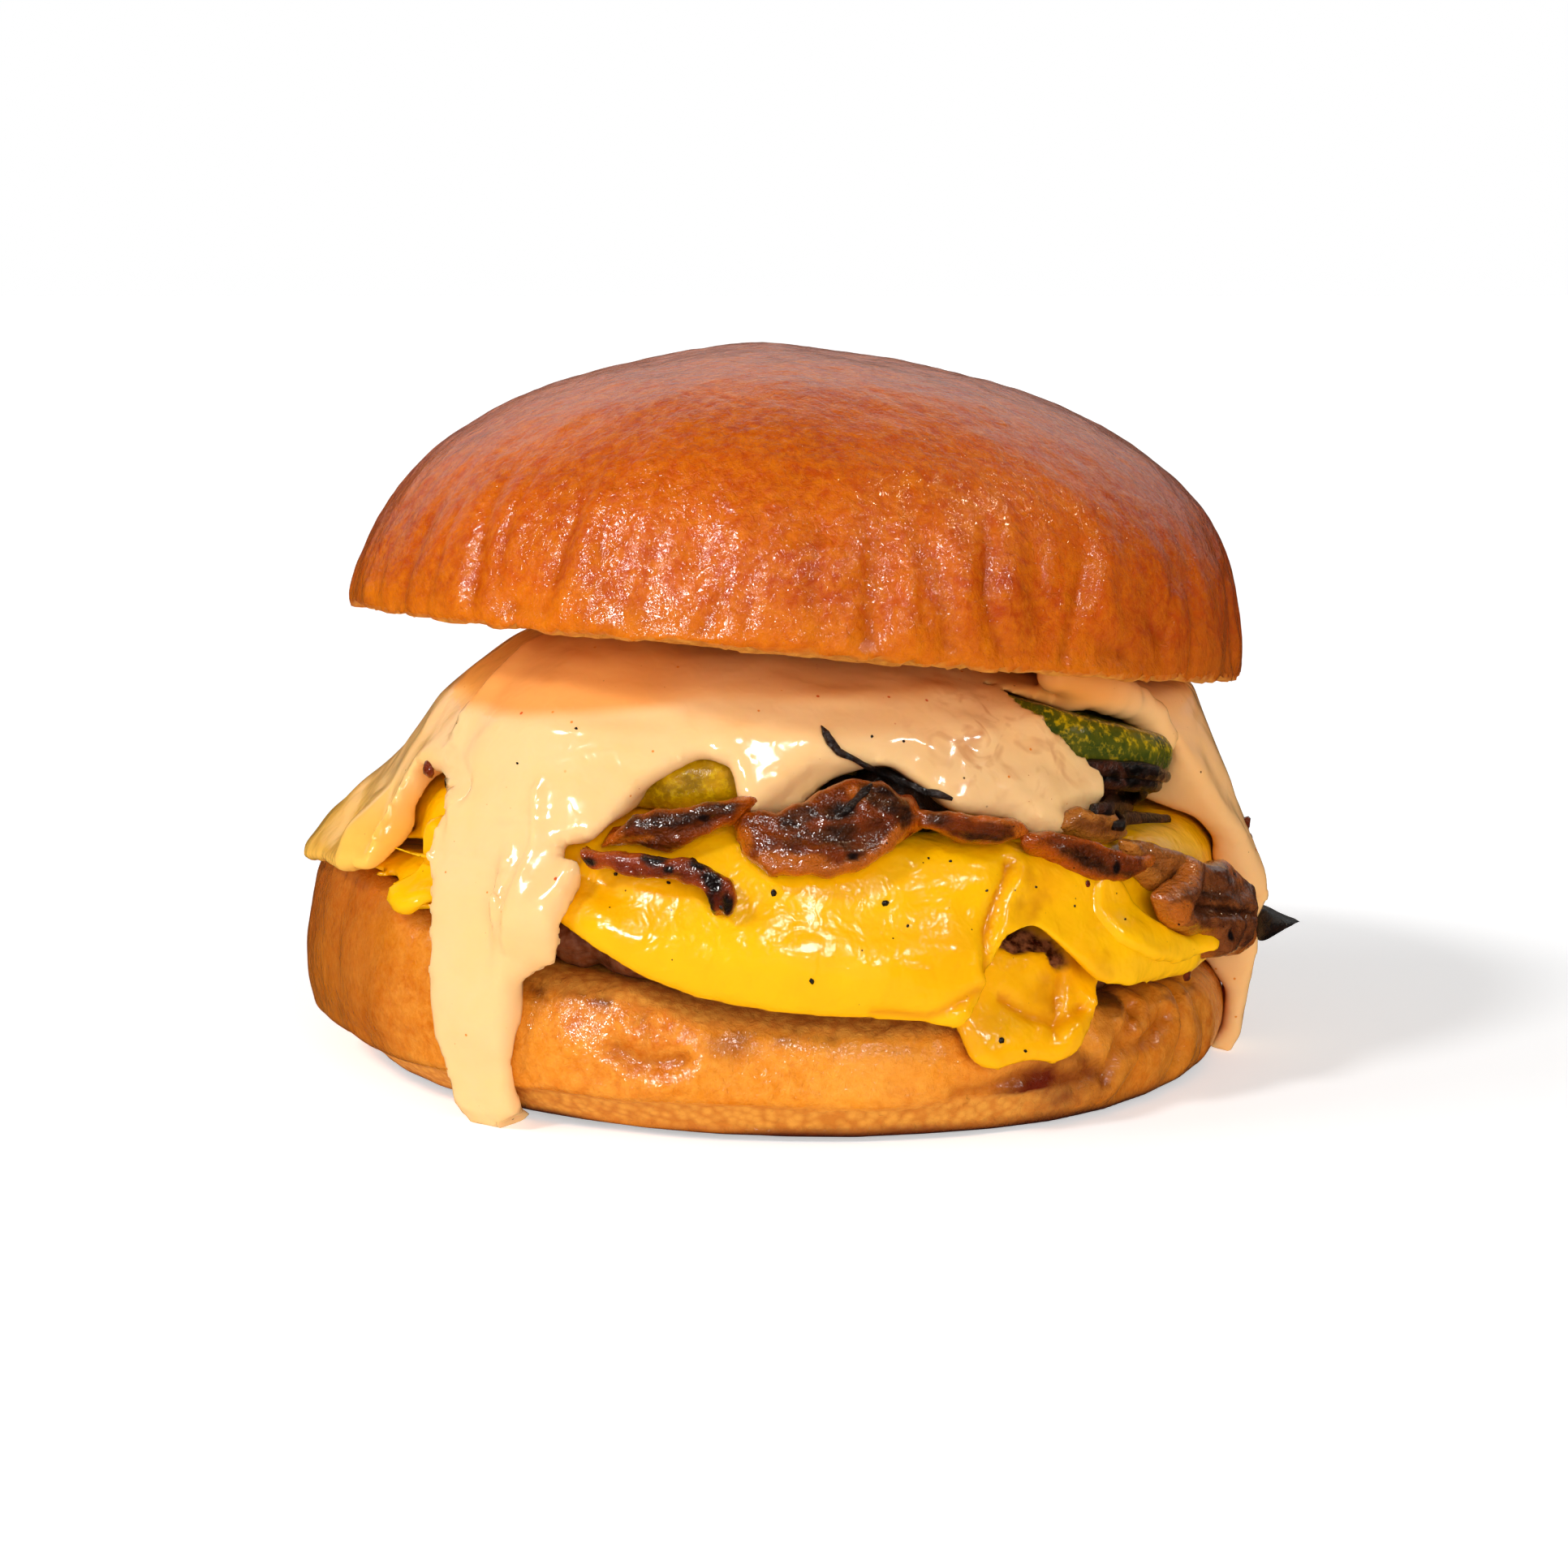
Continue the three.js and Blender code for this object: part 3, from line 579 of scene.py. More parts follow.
def model_crown(material):
    shape = Shape("crown", dense_copy("crown", 0.85))
    shape.smooth(36, rise(0.4, 5, crown_frame(shape.points)[:, 2]))

    # Skin: broad lumps, and wrinkles that run down the wall and are deepest in front
    local = crown_frame(shape.points)
    height = local[:, 2]
    turn = angle_of(local)
    ring = ring_of(local, 0.22)
    ring[:, 0] += 2.2 * noise(local, 9, 5)
    wall = span(height, -0.5, 2.5, 9, 21)
    front = 0.35 + 0.65 * span(turn, -62, -34, 62, 95)
    outside = rise(-0.3, 0.8, height)
    lumps = 0.5 * rough(local, 17, 40, 2) + 0.16 * rough(local, 5, 44, 2)
    creased = rough(local * (1, 1, 0.6), 2.4, 46, 2) * (0.1 + 0.1 * wall)
    valleys = 1.1 * near(noise(ring, 7.5, 21), 0, 0.2) + 0.5 * near(noise(ring, 4.2, 33), 0, 0.2)
    shape.push(outside * (lumps + creased + 0.1 * (0.5 - cells(local, 2.6, 50))) - front * wall * valleys)

    # Uneven rim, and a cut face with pores
    local = crown_frame(shape.points)
    height = local[:, 2]
    radius = np.hypot(local[:, 0], local[:, 1])
    edge = near(height, 0, 1.1) * rise(46, 52, radius)
    shape.points[:, 2] -= edge * (0.35 * rough(local, 1.9, 60, 2) + 0.35 * noise(local, 4.5, 63))
    face = (1 - rise(-0.85, -0.55, shape.normals()[:, 2])) * (1 - rise(0.4, 1.4, height))
    shape.push(-0.7 * face * (1 - rise(0.2, 0.55, cells(local, 2.1, 70))))

    # Colours: pale low down, painted shade low on the right and in the creases, a red patch on the top
    shape.mask("crumb", face)
    shape.mask("pale", 0.75 * (1 - rise(0.5, 7, height)) * (0.55 + 0.45 * rough(local, 4, 80)) * (1 - face))
    # Painted shade in the creases and low on the right side
    shape.mask("crease", rise(0.52, 0.85, shape.hollows(10, 0.5)) * outside)
    across = local[:, 0] / np.maximum(radius, 1)
    shape.mask("deep", 0.45 * rise(0.35, 0.95, across) * (1 - rise(20, 32, height)) * (1 - face))
    shape.mask("red", 0.5 * near(np.hypot(local[:, 0] - 2, local[:, 1] + 3), 0, 3.2) * rise(20, 30, height))
    shape.finish(material)


# Heel


def model_heel(material):
    shape = Shape("heel", dense_copy("heel", 0.75))
    shape.smooth(22, rise(0.2, 3.0, shape.z))

    # Skin: lumps, folds that are deepest at the front right, and the creases
    points = shape.points
    turn, ring = angle_of(points), ring_of(points)
    radius = np.hypot(shape.x, shape.y)
    side = rise(30, 40, radius)
    lumps = 0.1 + 0.42 * rough(points, 12, 100, 2) + 0.2 * rough(points, 4.5, 103, 2)
    folds = near(noise(points * (1, 1, 0.7), 8, 110), 0, 0.17) * (0.12 + 0.88 * span(turn, 34, 48, 95, 120))
    creases = np.zeros(len(points))
    for path in HEEL_CREASES:
        distance, over = path_distance(points, path)
        creases = np.maximum(creases, near(distance, 0, 0.9))
        lumps += 0.5 * near(distance, 2.4, 1.6) * (over > 0)
    shape.push(side * rise(0.3, 3, shape.z) * (lumps - 0.6 * folds - creases))

    # Open crumb low down, set back under a lip of skin, except at the front right
    points = shape.points
    lip = 4.9 + noise(ring, 17, 120) + 0.5 * noise(ring, 6, 121)
    open_side = side * (1 - span(turn, 24, 44, 120, 150))
    band = open_side * span(shape.z, 0.9, 2.0, lip - 0.7, lip + 0.15)
    pores = (1 - rise(0.1, 0.4, cells(points, 1.9, 130))) * rise(0, 0.5, rough(points, 5, 131))
    outward = 0.35 * open_side * near(shape.z, lip + 0.9, 0.9) - band * (1.15 + 0.5 * pores)
    out = np.column_stack([shape.x, shape.y, np.zeros(len(points))]) / np.maximum(radius, 1)[:, None]
    shape.points = points = points + out * outward[:, None]

    # Top: a peak at the left, and a torn edge
    shape.points[:, 2] += 1.9 * near(turn, -66, 20) * rise(12, 24, shape.z) * side
    up = shape.normals()[:, 2]
    top = rise(0.55, 0.8, up) * rise(9, 11, shape.z) * (1 - rise(48, 52, radius) * near(turn, -66, 24))
    top *= 1 - span(turn, 38, 44, 90, 110) * rise(44, 48, radius)
    torn = near(up, 0.5, 0.4) * rise(9, 11, shape.z) * side
    shape.points[:, 2] += torn * 0.55 * rough(points, 2.2, 140, 2)

    # Colours: crumb, burnt sole and rim, painted shade at the left, the right, low down and in the creases,
    # and red and brown stains at the right
    shape.mask("crumb", np.maximum(band, top))
    sole = (1 - rise(0.5, 1.6, shape.z + 0.5 * noise(ring, 9, 150))) * side
    rim = 0.8 * near(up, 0.6, 0.16) * rise(9, 11, shape.z) * side * rise(-0.1, 0.5, rough(points, 2.6, 155))
    rim *= span(turn, -60, -30, 90, 110)
    singed = 0.9 * near(turn, 54, 9) * rise(12.4, 14.6, shape.z + 1.2 * rough(points, 2.4, 156)) * side
    shape.mask("burnt", np.maximum.reduce([sole, rim, singed]))
    shape.mask("pale", 0.4 * rough(points, 9, 160, 2) + 0.2)
    # Painted shade: darker at the left and right sides and low down
    left = 0.6 * span(turn, -150, -120, -60, -42)
    right = 0.5 * span(turn, 30, 60, 120, 160) * (0.7 + 0.6 * rough(points, 6, 190))
    under = 0.5 * near(shape.z, 1.6, 1.4) * side
    shape.mask("deep", np.maximum.reduce([left, right, under]))
    # Painted shade in the creases and hollows
    shape.mask("crease", np.maximum(creases, rise(0.55, 0.85, shape.hollows(10, 0.45))) * (1 - band))
    red = 0.45 * near(turn, -6, 4.5) * near(shape.z, 11.5, 2.6)
    worn = rise(-0.3, 0.4, rough(points, 3, 170))
    red += 0.9 * near(turn, 35, 11) * near(shape.z, 4.4, 3.0) * (0.55 + 0.45 * worn)
    red += 0.45 * near(turn, 38, 9) * near(shape.z, 9.5, 3.4) * rise(-0.4, 0.4, rough(points, 4, 171))
    shape.mask("red", rise(0.1, 0.75, red))
    stain = np.maximum(
        near(turn, 46, 4.6) * near(shape.z, 13.4, 2.0),
        0.9 * near(turn, 53, 6) * near(shape.z, 14.6, 1.0),
    )
    shape.mask("stain", 0.9 * rise(0.15, 0.7, stain + 0.3 * rough(points, 2.2, 180, 2)))
    shape.finish(material)


# Meat and cheese


def model_patty(node, seed, material):
    shape = Shape(node, dense_copy(node, 0.85))
    shape.smooth(4)
    crags = cells(shape.points, 4.4, seed)
    shape.push(0.5 - 1.3 * rise(0.25, 0.85, crags) + 0.4 * rough(shape.points, 2.2, seed + 5))
    # Painted shade in the hollows of the crags
    shape.mask("crease", rise(0.45, 0.9, shape.hollows(8, 0.6)))
    shape.finish(material)


def model_cheese(node, seed, material, creases=(), grease=(), torn=()):
    """Melted slice: soft swells, creases along lines of [angle, height], and ovals where the meat shows."""
    shape = Shape(node, dense_copy(node, 0.65))
    shape.smooth(14)
    points = shape.points
    push = 0.3 * noise(points, 8, seed) + 0.12 * noise(points, 3.6, seed + 1)
    outer = rise(30, 40, np.hypot(shape.x, shape.y))
    lines = np.zeros(len(points))
    for path, depth in creases:
        distance, right = path_distance(points, path)
        push += outer * depth * (0.6 * near(distance, 1.5, 1.1) * (right > 0) - near(distance, 0, 0.75))
        lines = np.maximum(lines, near(distance, 0, 0.5) * outer)
    hole = np.zeros(len(points))
    for spot in torn:
        hole = np.maximum(hole, rise(0.3, 0.6, oval(points, *spot) + 0.25 * rough(points, 1.8, seed + 12, 2)))
    push += hole * (0.5 * rough(points, 1.5, seed + 14, 2) - 0.8)
    shape.push(push)
    shape.mask("meat", hole)
    # Painted shade along the crease lines and in the hollows
    shape.mask("crease", np.maximum(0.8 * lines, rise(0.6, 0.95, shape.hollows(12, 0.4))))
    stained = np.zeros(len(points))
    patchy = rise(-0.4, 0.5, rough(points, 2, seed + 9))
    for angle, height, size, strength in grease:
        spread = np.hypot((angle_of(points) - angle) * 0.9, shape.z - height)
        stained = np.maximum(stained, strength * near(spread, 0, size) * patchy)
    shape.mask("grease", stained)
    shape.finish(material)


# Toppings


def even_line(line, count):
    """Points spread evenly along a line, with its corners rounded a little."""
    gaps = np.hypot(*np.diff(line, axis=0).T)
    along = np.concatenate([[0], np.cumsum(gaps)])
    wanted = np.linspace(0, along[-1], count)
    even = np.column_stack([np.interp(wanted, along, line[:, k]) for k in range(2)])
    for _ in range(4):
        even[1:-1] = (even[:-2] + 2 * even[1:-1] + even[2:]) / 4
    return even


def blurred(grid):
    wide = np.pad(grid, 1, mode="edge")
    return (wide[:-2, 1:-1] + wide[2:, 1:-1] + wide[1:-1, :-2] + wide[1:-1, 2:] + 2 * grid) / 6


def front_radius(nodes, columns, rows):
    """Softened radius of the front of CAD nodes, also past their outline."""
    trees = []
    for node in nodes:
        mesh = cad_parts[node].data
        corners = [tuple(v.co) for v in mesh.vertices]
        trees.append(BVHTree.FromPolygons(corners, [tuple(face.vertices) for face in mesh.polygons]))
    radius = np.zeros((len(columns), len(rows)))
    for i, j in np.ndindex(radius.shape):
        start = Vector(place(columns[i], rows[j], FAR_RADIUS) * MM)
        inward = (Vector((0, 0, rows[j] * MM)) - start).normalized()
        for tree in trees:
            gap = tree.ray_cast(start, inward, (FAR_RADIUS - NEAR_RADIUS) * MM)[3]
            if gap is not None:
                radius[i, j] = max(radius[i, j], FAR_RADIUS - gap / MM)
    known = radius > 0
    radius[~known] = np.median(radius[known])
    for _ in range(CARRY_ROUNDS):
        radius = np.where(known, radius, blurred(radius))
    for _ in range(FILL_ROUNDS):
        radius = np.maximum(radius, blurred(radius))
    for _ in range(SOFT_ROUNDS):
        radius = blurred(radius)
    return radius


def front_points(nodes, angles, heights):
    """Points on the front of CAD nodes at those angles and heights, and their outward normals."""
    columns = np.arange(angles.min() - FRONT_MARGIN[0], angles.max() + FRONT_MARGIN[0], FRONT_TURN)
    rows = np.arange(heights.min() - FRONT_MARGIN[1], heights.max() + FRONT_MARGIN[1], FRONT_RISE)
    radius = front_radius(nodes, columns, rows)
    around = np.gradient(radius, axis=0) / (math.radians(FRONT_TURN) * radius)
    upward = np.gradient(radius, axis=1) / FRONT_RISE
    across = (angles - columns[0]) / FRONT_TURN
    up = (heights - rows[0]) / FRONT_RISE
    i = np.clip(across.astype(int), 0, len(columns) - 2)
    j = np.clip(up.astype(int), 0, len(rows) - 2)
    s, t = across - i, up - j

    def sample(field):
        low = field[i, j] * (1 - s) + field[i + 1, j] * s
        high = field[i, j + 1] * (1 - s) + field[i + 1, j + 1] * s
        return low * (1 - t) + high * t

    turn = np.radians(angles)
    r, a, b = sample(radius), sample(around), sample(upward)
    points = np.stack([r * np.sin(turn), -r * np.cos(turn), heights], axis=-1)
    out = np.stack([np.sin(turn) - a * np.cos(turn), -np.cos(turn) - a * np.sin(turn), -b], axis=-1)
    return points, out / np.linalg.norm(out, axis=-1, keepdims=True)


def slice_mesh(nodes, sizes, seed):
    """Closed thin slice between two lines of [angle, height], and each point's depth in from the rim."""
    thick, lift = sizes["thick"], sizes.get("lift", 0)
    lines = [np.array(sizes[name], float) * (DEGREE, 1) for name in ("upper", "lower")]
    count = int(max(np.hypot(*np.diff(line, axis=0).T).sum() for line in lines) / SLICE_STEP)
    for part in range(2):
        line = even_line(lines[part], count)
        spots = np.column_stack([line, np.full(count, 7.0 * part)])
        wander = [0.3 * noise(spots, 1.7, seed + k) + 0.12 * noise(spots, 0.7, seed + k + 5) for k in (0, 1)]
        lines[part] = line + np.column_stack(wander)
    rows = max(6, int(np.hypot(*(lines[0] - lines[1]).T).max() / SLICE_STEP))
    part = np.linspace(0, 1, rows)[None, :, None]
    flat = lines[0][:, None] * (1 - part) + lines[1][:, None] * part
    loop = np.concatenate([flat[:, 0], flat[-1, 1:], flat[::-1, -1], flat[0, ::-1]])
    depth = np.full(flat.shape[:2], 99.0)
    for spot in loop:
        depth = np.minimum(depth, np.hypot(flat[..., 0] - spot[0], flat[..., 1] - spot[1]))
    top, out = front_points(nodes, flat[..., 0] / DEGREE, flat[..., 1])
    full = np.sqrt(1 - (1 - np.clip(depth / sizes.get("rim", 1.3), 0, 1)) ** 2)
    spots = np.column_stack([flat.reshape(-1, 2) * (0.45, 1), np.zeros(depth.size)])
    ridges = sizes.get("relief", 0.4) * (rough(spots, 1.9, seed + 9).reshape(depth.shape) - 0.5)
    front = top + out * (lift - thick * (1 - full) + full * ridges)[..., None]
    back = top + out * (lift - thick - 0.4)
    points = np.concatenate([front.reshape(-1, 3), back.reshape(-1, 3)])
    size = count * rows
    index = np.arange(size).reshape(count, rows)
    quads = np.stack([index[:-1, :-1], index[:-1, 1:], index[1:, 1:], index[1:, :-1]], axis=-1).reshape(-1, 4)
    ring = np.concatenate([index[:, 0], index[-1, 1:], index[::-1, -1][1:], index[0, ::-1][1:-1]])
    other = np.roll(ring, -1)
    band = np.column_stack([ring, other, other + size, ring + size])
    faces = np.concatenate([quads, quads[:, ::-1] + size, band])
    mesh = bpy.data.meshes.new("slice")
    mesh.from_pydata([tuple(p) for p in points * MM], [], [tuple(int(v) for v in f) for f in faces])
    tidy = bmesh.new()
    tidy.from_mesh(mesh)
    bmesh.ops.recalc_face_normals(tidy, faces=tidy.faces)
    tidy.to_mesh(mesh)
    tidy.free()
    return mesh, np.tile(depth.ravel(), 2)


def model_fried(node, material, sizes, seed):
    """Fried slice with its grooves, each a line and a depth, and its burnt, dark and amber ovals."""
    mesh, depth = slice_mesh([node], sizes, seed)
    shape = Shape(node, mesh)
    inside = rise(0, 0.5, depth)
    shape.push(inside * (0.16 * rough(shape.points * (0.5, 0.5, 1), 0.9, seed + 20, 2)))
    for path, groove in sizes.get("grooves", ()):
        shape.push(-groove * inside * near(path_distance(shape.points, path)[0], 0, 0.7))
    ragged = 0.5 * rough(shape.points, 1.4, seed + 30, 2)
    shape.mask("rim", 0.9 * (1 - rise(0.15, 1.25, depth + ragged)))
    # Painted shade in the hollows
    shape.mask("crease", rise(0.5, 0.9, shape.hollows(8, 0.3)) * inside)
    for name in ("burnt", "dark", "amber"):
        amount = np.zeros(len(shape.points))
        for spot in sizes.get(name, ()):
            edge = oval(shape.points, *spot) + 0.35 * rough(shape.points, 1.6, seed + 40, 2)
            amount = np.maximum(amount, rise(0.25, 0.65, edge))
        shape.mask(name, amount)
    shape.finish(material)


def model_lump(node, seed, material):
    """Uneven fried piece that keeps the whole form of its CAD node."""
    shape = Shape(node, dense_copy(node, 0.4))
    shape.smooth(5)
    wrinkles = rough(shape.points * (0.5, 0.5, 1), 1.7, seed)
    shape.push(0.35 * wrinkles + 0.25 * noise(shape.points, 3.2, seed + 3))
    if node == "charred_tip":
        # It gets thinner to the right
        part = rise(0.1, 1, (shape.x - shape.x.min()) / np.ptp(shape.x))
        middle = shape.z.mean() + 0.4
        shape.points[:, 2] = middle + (shape.z - middle) * (1.25 - 1.1 * part)
    shape.finish(material)


def model_bed(material):
    shape = Shape("mushroom_bed", dense_copy("mushroom_bed", 0.7))
    strands = rough(shape.points * (0.5, 0.5, 1), 3.0, 300)
    shape.smooth(4)
    turn = angle_of(shape.points)
    heap = 2.2 * near(turn, 52, 15) + 1.0 * near(turn, 16, 8)
    shape.push(0.9 * strands + 0.4 * noise(shape.points, 1.5, 303) + heap)
    shape.finish(material)


def model_pickle(node, seed, material):
    shape = Shape(node, dense_copy(node, 0.5))
    shape.smooth(4)
    shape.push(0.16 * rough(shape.points, 2.4, seed))
    up = shape.normals()[:, 2]
    # Only the right one shows its dark rind, on its underside
    shape.mask("rind", rise(0.15, -0.35, up) if node == "pickle_right" else 0 * up)
    shape.finish(material)


def model_sauce(material):
    """Poured sauce: soft folds, a thick front drip, and an edge that meets what lies under it."""
    shape = Shape("sauce", dense_copy("sauce", 0.63, SAUCE_FILLS))
    shape.smooth(4)
    shape.smooth(16, rise(0.2, 0.6, oval(shape.points, -84, 29, 16, 8)))
    shape.soften(30)

    # Its outline: a lower edge, a wider gap beside the front drip, and the drip's toe drawn in at the right
    points = shape.points
    for spot, drop in SAUCE_DROPS:
        points[:, 2] -= drop * oval(points, *spot)
    drip = rise(*WING_END, angle_of(points))
    for spot, turned in SAUCE_SHIFTS:
        points = turned_by(points, turned * oval(points, *spot) * (drip if turned > 0 else 1 - drip))
    toe = (1 - rise(0.4, 2.6, points[:, 2])) * (abs(angle_of(points) - TOE_MIDDLE) < TOE_REACH)
    points = turned_by(points, -toe * np.maximum(angle_of(points) - TOE_RIGHT, 0))
    shape.points = points

    # Its thickness: folds, swells and lumps
    lumpy = np.maximum(oval(points, 29, 43.5, 8, 6), oval(points, 38, 39, 4.5, 5))
    swells = 0.4 * noise(points, 9, 400) + 0.12 * noise(points, 4, 401)
    push = 0.35 + swells + 0.55 * lumpy * rough(points, 3.4, 402, 2)
    for path, out, width in SAUCE_FOLDS:
        distance, right = path_distance(points, path)
        push += out * near(distance, 0, np.where(right > 0, width, 0.35 * width))
    for spot, out in SAUCE_SWELLS:
        push += out * oval(points, *spot)
    shape.push(rise(0.2, 2.5, shape.z) * push)

    # Colours: painted shade under the crown and at the right, yellower on the wing at the left
    points = shape.points
    turn = angle_of(points)
    shape.mask("lumpy", 0.8 * lumpy)
    line = 45.4 + 0.8 * noise(ring_of(points), 9, 410) + 1.6 * rise(-30, -10, turn)
    shade = rise(0, 1.6, shape.z - line) * (0.85 - 0.45 * rise(-22, -8, turn)) * rise(-80, -60, turn)
    # Painted shade at the right side, and under the crown above the right pickle
    pale = 0.3 * span(turn, 46, 60, 95, 110)
    under = near(turn, 46, 14) * rise(43, 47, shape.z + 0.12 * (turn - 46)) * (1 - rise(58, 66, turn))
    shape.mask("shade", np.maximum.reduce([shade, pale, under]))
    shape.mask("wing", 0.85 * span(turn, -125, -110, -55, -49) * (1 - 0.7 * rise(30, 38, shape.z)))
    shape.finish(material)


# Small bits on the surfaces


def own_piece(name, material, made):
    """Turns a bmesh in metres into a piece of its own."""
    mesh = bpy.data.meshes.new(name)
    made.to_mesh(mesh)
    made.free()
    add_piece(in_scene(name, mesh), material)


def make_bits(name, material, spots, seed, finer=2):
    """Small uneven bits as one piece. Each spot is [angle, height, size, flatness, how far out in sizes]."""
    draw = np.random.default_rng(seed)
    joined = bmesh.new()
    for number, (angle, height, size, flat, lift) in enumerate(spots):
        radius = reach(angle, height)
        if radius is None:
            continue
        middle = Vector(place(angle, height, radius + lift * size))
        ball = bmesh.ops.create_icosphere(joined, subdivisions=finer, radius=1)["verts"]
        shell = np.array([vert.co for vert in ball])
        shell *= 1 + 0.45 * rough(shell, 0.9, seed + number, 2)[:, None]
        shell *= (1, draw.uniform(0.6, 1), flat)
        shell = turned_by(shell, math.degrees(draw.uniform(0, math.pi)))
        facing = Vector(place(angle, 0, 1)).to_track_quat("Z", "Y").to_matrix()
        for vert, spot in zip(ball, shell * size / 2):
            vert.co = (middle + facing @ Vector(spot)) * MM
    own_piece(name, material, joined)


def make_sheet(name, nodes, material, sizes, seed):
    """Thin corner of a melted slice, on the front of CAD nodes."""
    mesh, _ = slice_mesh(nodes, {"thick": 2.0, "rim": 1.2, "relief": 0.15, **sizes}, seed)
    add_piece(in_scene(name, mesh), material, name)


def make_stem(name, material, path, seed, sides=10):
    """Thin twig or leaf. Each point of its path is [angle, height, lift, half width, half thickness]."""
    joined = bmesh.new()
    rings = []
    fine = np.linspace(0, len(path) - 1, 8 * len(path))
    rows = np.column_stack([np.interp(fine, range(len(path)), column) for column in np.array(path, float).T])
    found = [reach(row[0], row[1]) for row in rows]
    seen = [number for number, radius in enumerate(found) if radius is not None]
    radius = np.interp(range(len(rows)), seen, [found[number] for number in seen]) + rows[:, 2]
    for _ in range(30):
        radius[1:-1] = np.maximum(radius[1:-1], (radius[:-2] + radius[2:]) / 2)
    middles = np.array([place(row[0], row[1], out) for row, out in zip(rows, radius)])
    for number, (middle, row) in enumerate(zip(middles, rows)):
        along = Vector(middles[min(number + 1, len(rows) - 1)] - middles[max(number - 1, 0)]).normalized()
        outward = Vector(place(row[0], 0, 1))
        across = along.cross(outward).normalized()
        outward = across.cross(along).normalized()
        ring = []
        for side in range(sides):
            turn = 2 * math.pi * side / sides
            spot = Vector(middle) + across * (row[3] * math.cos(turn)) + outward * (row[4] * math.sin(turn))
            jolt = 0.08 * noise(np.array([spot]), 0.8, seed)[0]
            ring.append(joined.verts.new((spot + outward * jolt + across * jolt) * MM))
        rings.append(ring)
    for first, second in zip(rings, rings[1:]):
        for side in range(sides):
            after = (side + 1) % sides
            joined.faces.new((first[side], first[after], second[after], second[side]))
    joined.faces.new(rings[0][::-1])
    joined.faces.new(rings[-1])
    bmesh.ops.recalc_face_normals(joined, faces=joined.faces)
    own_piece(name, material, joined)


# The food, layer by layer
# Crust tones: dark, middle, light, and deep, the last being painted shade
CROWN_TONES = (tone(176, 62, 0), tone(206, 86, 0), tone(228, 124, 4), tone(146, 44, 0))
HEEL_TONES = (tone(202, 96, 2), tone(230, 134, 12), tone(250, 168, 60), tone(160, 68, 0))
CROWN_CRUST = crust_paint("crown_crust", *CROWN_TONES)
HEEL_CRUST = crust_paint("heel_crust", *HEEL_TONES)
UPPER_CHEESE = cheese_paint("upper_cheese_paint", tone(252, 184, 0), tone(246, 158, 0))
LOWER_CHEESE = cheese_paint("lower_cheese_paint", tone(250, 176, 0), tone(236, 150, 0))
BEEF = beef_paint()
FRIED = fried_paint("fried_paint", tone(58, 17, 0), tone(118, 42, 0), tone(196, 86, 0))
AMBER = fried_paint("amber_paint", tone(104, 50, 10), tone(156, 88, 30), tone(204, 126, 44))
STEWED = fried_paint("stewed_paint", tone(72, 30, 8), tone(126, 66, 26), tone(196, 104, 24))
CHARRED = fried_paint("charred_paint", tone(78, 16, 4), tone(130, 42, 8), tone(194, 82, 8))
STRAND = char_paint("strand_paint", tone(8, 4, 3), tone(70, 30, 12))
BLACK = char_paint("black_paint", tone(14, 12, 12), tone(44, 26, 18))
BED = char_paint("bed_paint", tone(6, 3, 2), tone(44, 18, 6))
PICKLE_PALE = pickle_paint("pickle_pale_paint", tone(214, 160, 0), tone(226, 186, 4), tone(150, 112, 0))
PICKLE_DARK = pickle_paint("pickle_dark_paint", tone(104, 96, 10), tone(214, 176, 10), tone(52, 66, 10))
SAUCE = sauce_paint()

# Folds in the heel's skin, each a line of [angle, height]
HEEL_CREASES = [
    [(21, 5.2), (26, 5.8), (30, 6.6), (34, 6.2), (38, 5.0), (41.5, 5.8)],
    [(42.5, 5.0), (44.5, 7.4), (48, 9.6), (50.5, 11.4)],
    [(46, 7.6), (50, 7.4), (54, 8.0), (57, 9.4)],
    [(63, 12.0), (61, 8.0), (60, 4.6)],
    [(-20, 10.5), (-17, 9.0), (-12, 9.6)],
]

# Creases of the cheese slices, each a line of [angle, height] and its depth
UPPER_CREASES = [
    ([(29, 30), (26.5, 27), (24, 23), (23.4, 19.5), (25, 16.5)], 0.7),
    ([(10, 15.5), (16, 15.0), (22, 17.5)], 0.35),
]
LOWER_CREASES = [
    ([(27, 15.5), (30, 13.6), (34, 12.4), (38, 13.4)], 0.5),
    ([(33, 11.5), (34.5, 14), (36, 17)], 0.4),
]

# Fried slices in front: lines of [angle, height] above and below each, ovals where it is burnt, dark or
# amber, and grooves, each a line and its depth
STRIP = {
    "thick": 2.8,
    "lift": 1.0,
    "rim": 0.9,
    "relief": 0.8,
    "upper": [
        (-24.4, 33.1), (-22.5, 32.8), (-20.1, 32.9), (-17.9, 32.9), (-15.8, 32.9), (-13.4, 32.7),
        (-11.4, 32.8), (-9.8, 32.7), (-8.2, 31.8), (-6.6, 30.9), (-5.2, 29.8), (-4.8, 28.9), (-5.0, 27.2),
        (-6.1, 25.7),
    ],
    "lower": [
        (-24.2, 32.7), (-23.6, 30.9), (-22.7, 30.0), (-20.1, 30.2), (-17.4, 29.7), (-14.3, 29.7),
        (-12.0, 29.4), (-9.9, 29.1), (-9.0, 28.8), (-8.9, 27.1), (-8.6, 26.0), (-7.9, 25.6), (-7.1, 25.5),
    ],
    "burnt": [
        (-22.3, 31.4, 1.3, 0.7), (-14.4, 32.1, 1.5, 0.7), (-12.7, 31.2, 0.8, 0.6),
        (-9.3, 31.8, 1.3, 0.8, -35), (-8.0, 30.2, 1.7, 1.0, -50), (-8.4, 27.2, 0.9, 2.1),
        (-6.2, 27.6, 0.8, 1.6),
    ],
    "grooves": [([(-7.4, 29.6), (-7.3, 27.6), (-7.3, 25.8)], 0.7)],
}
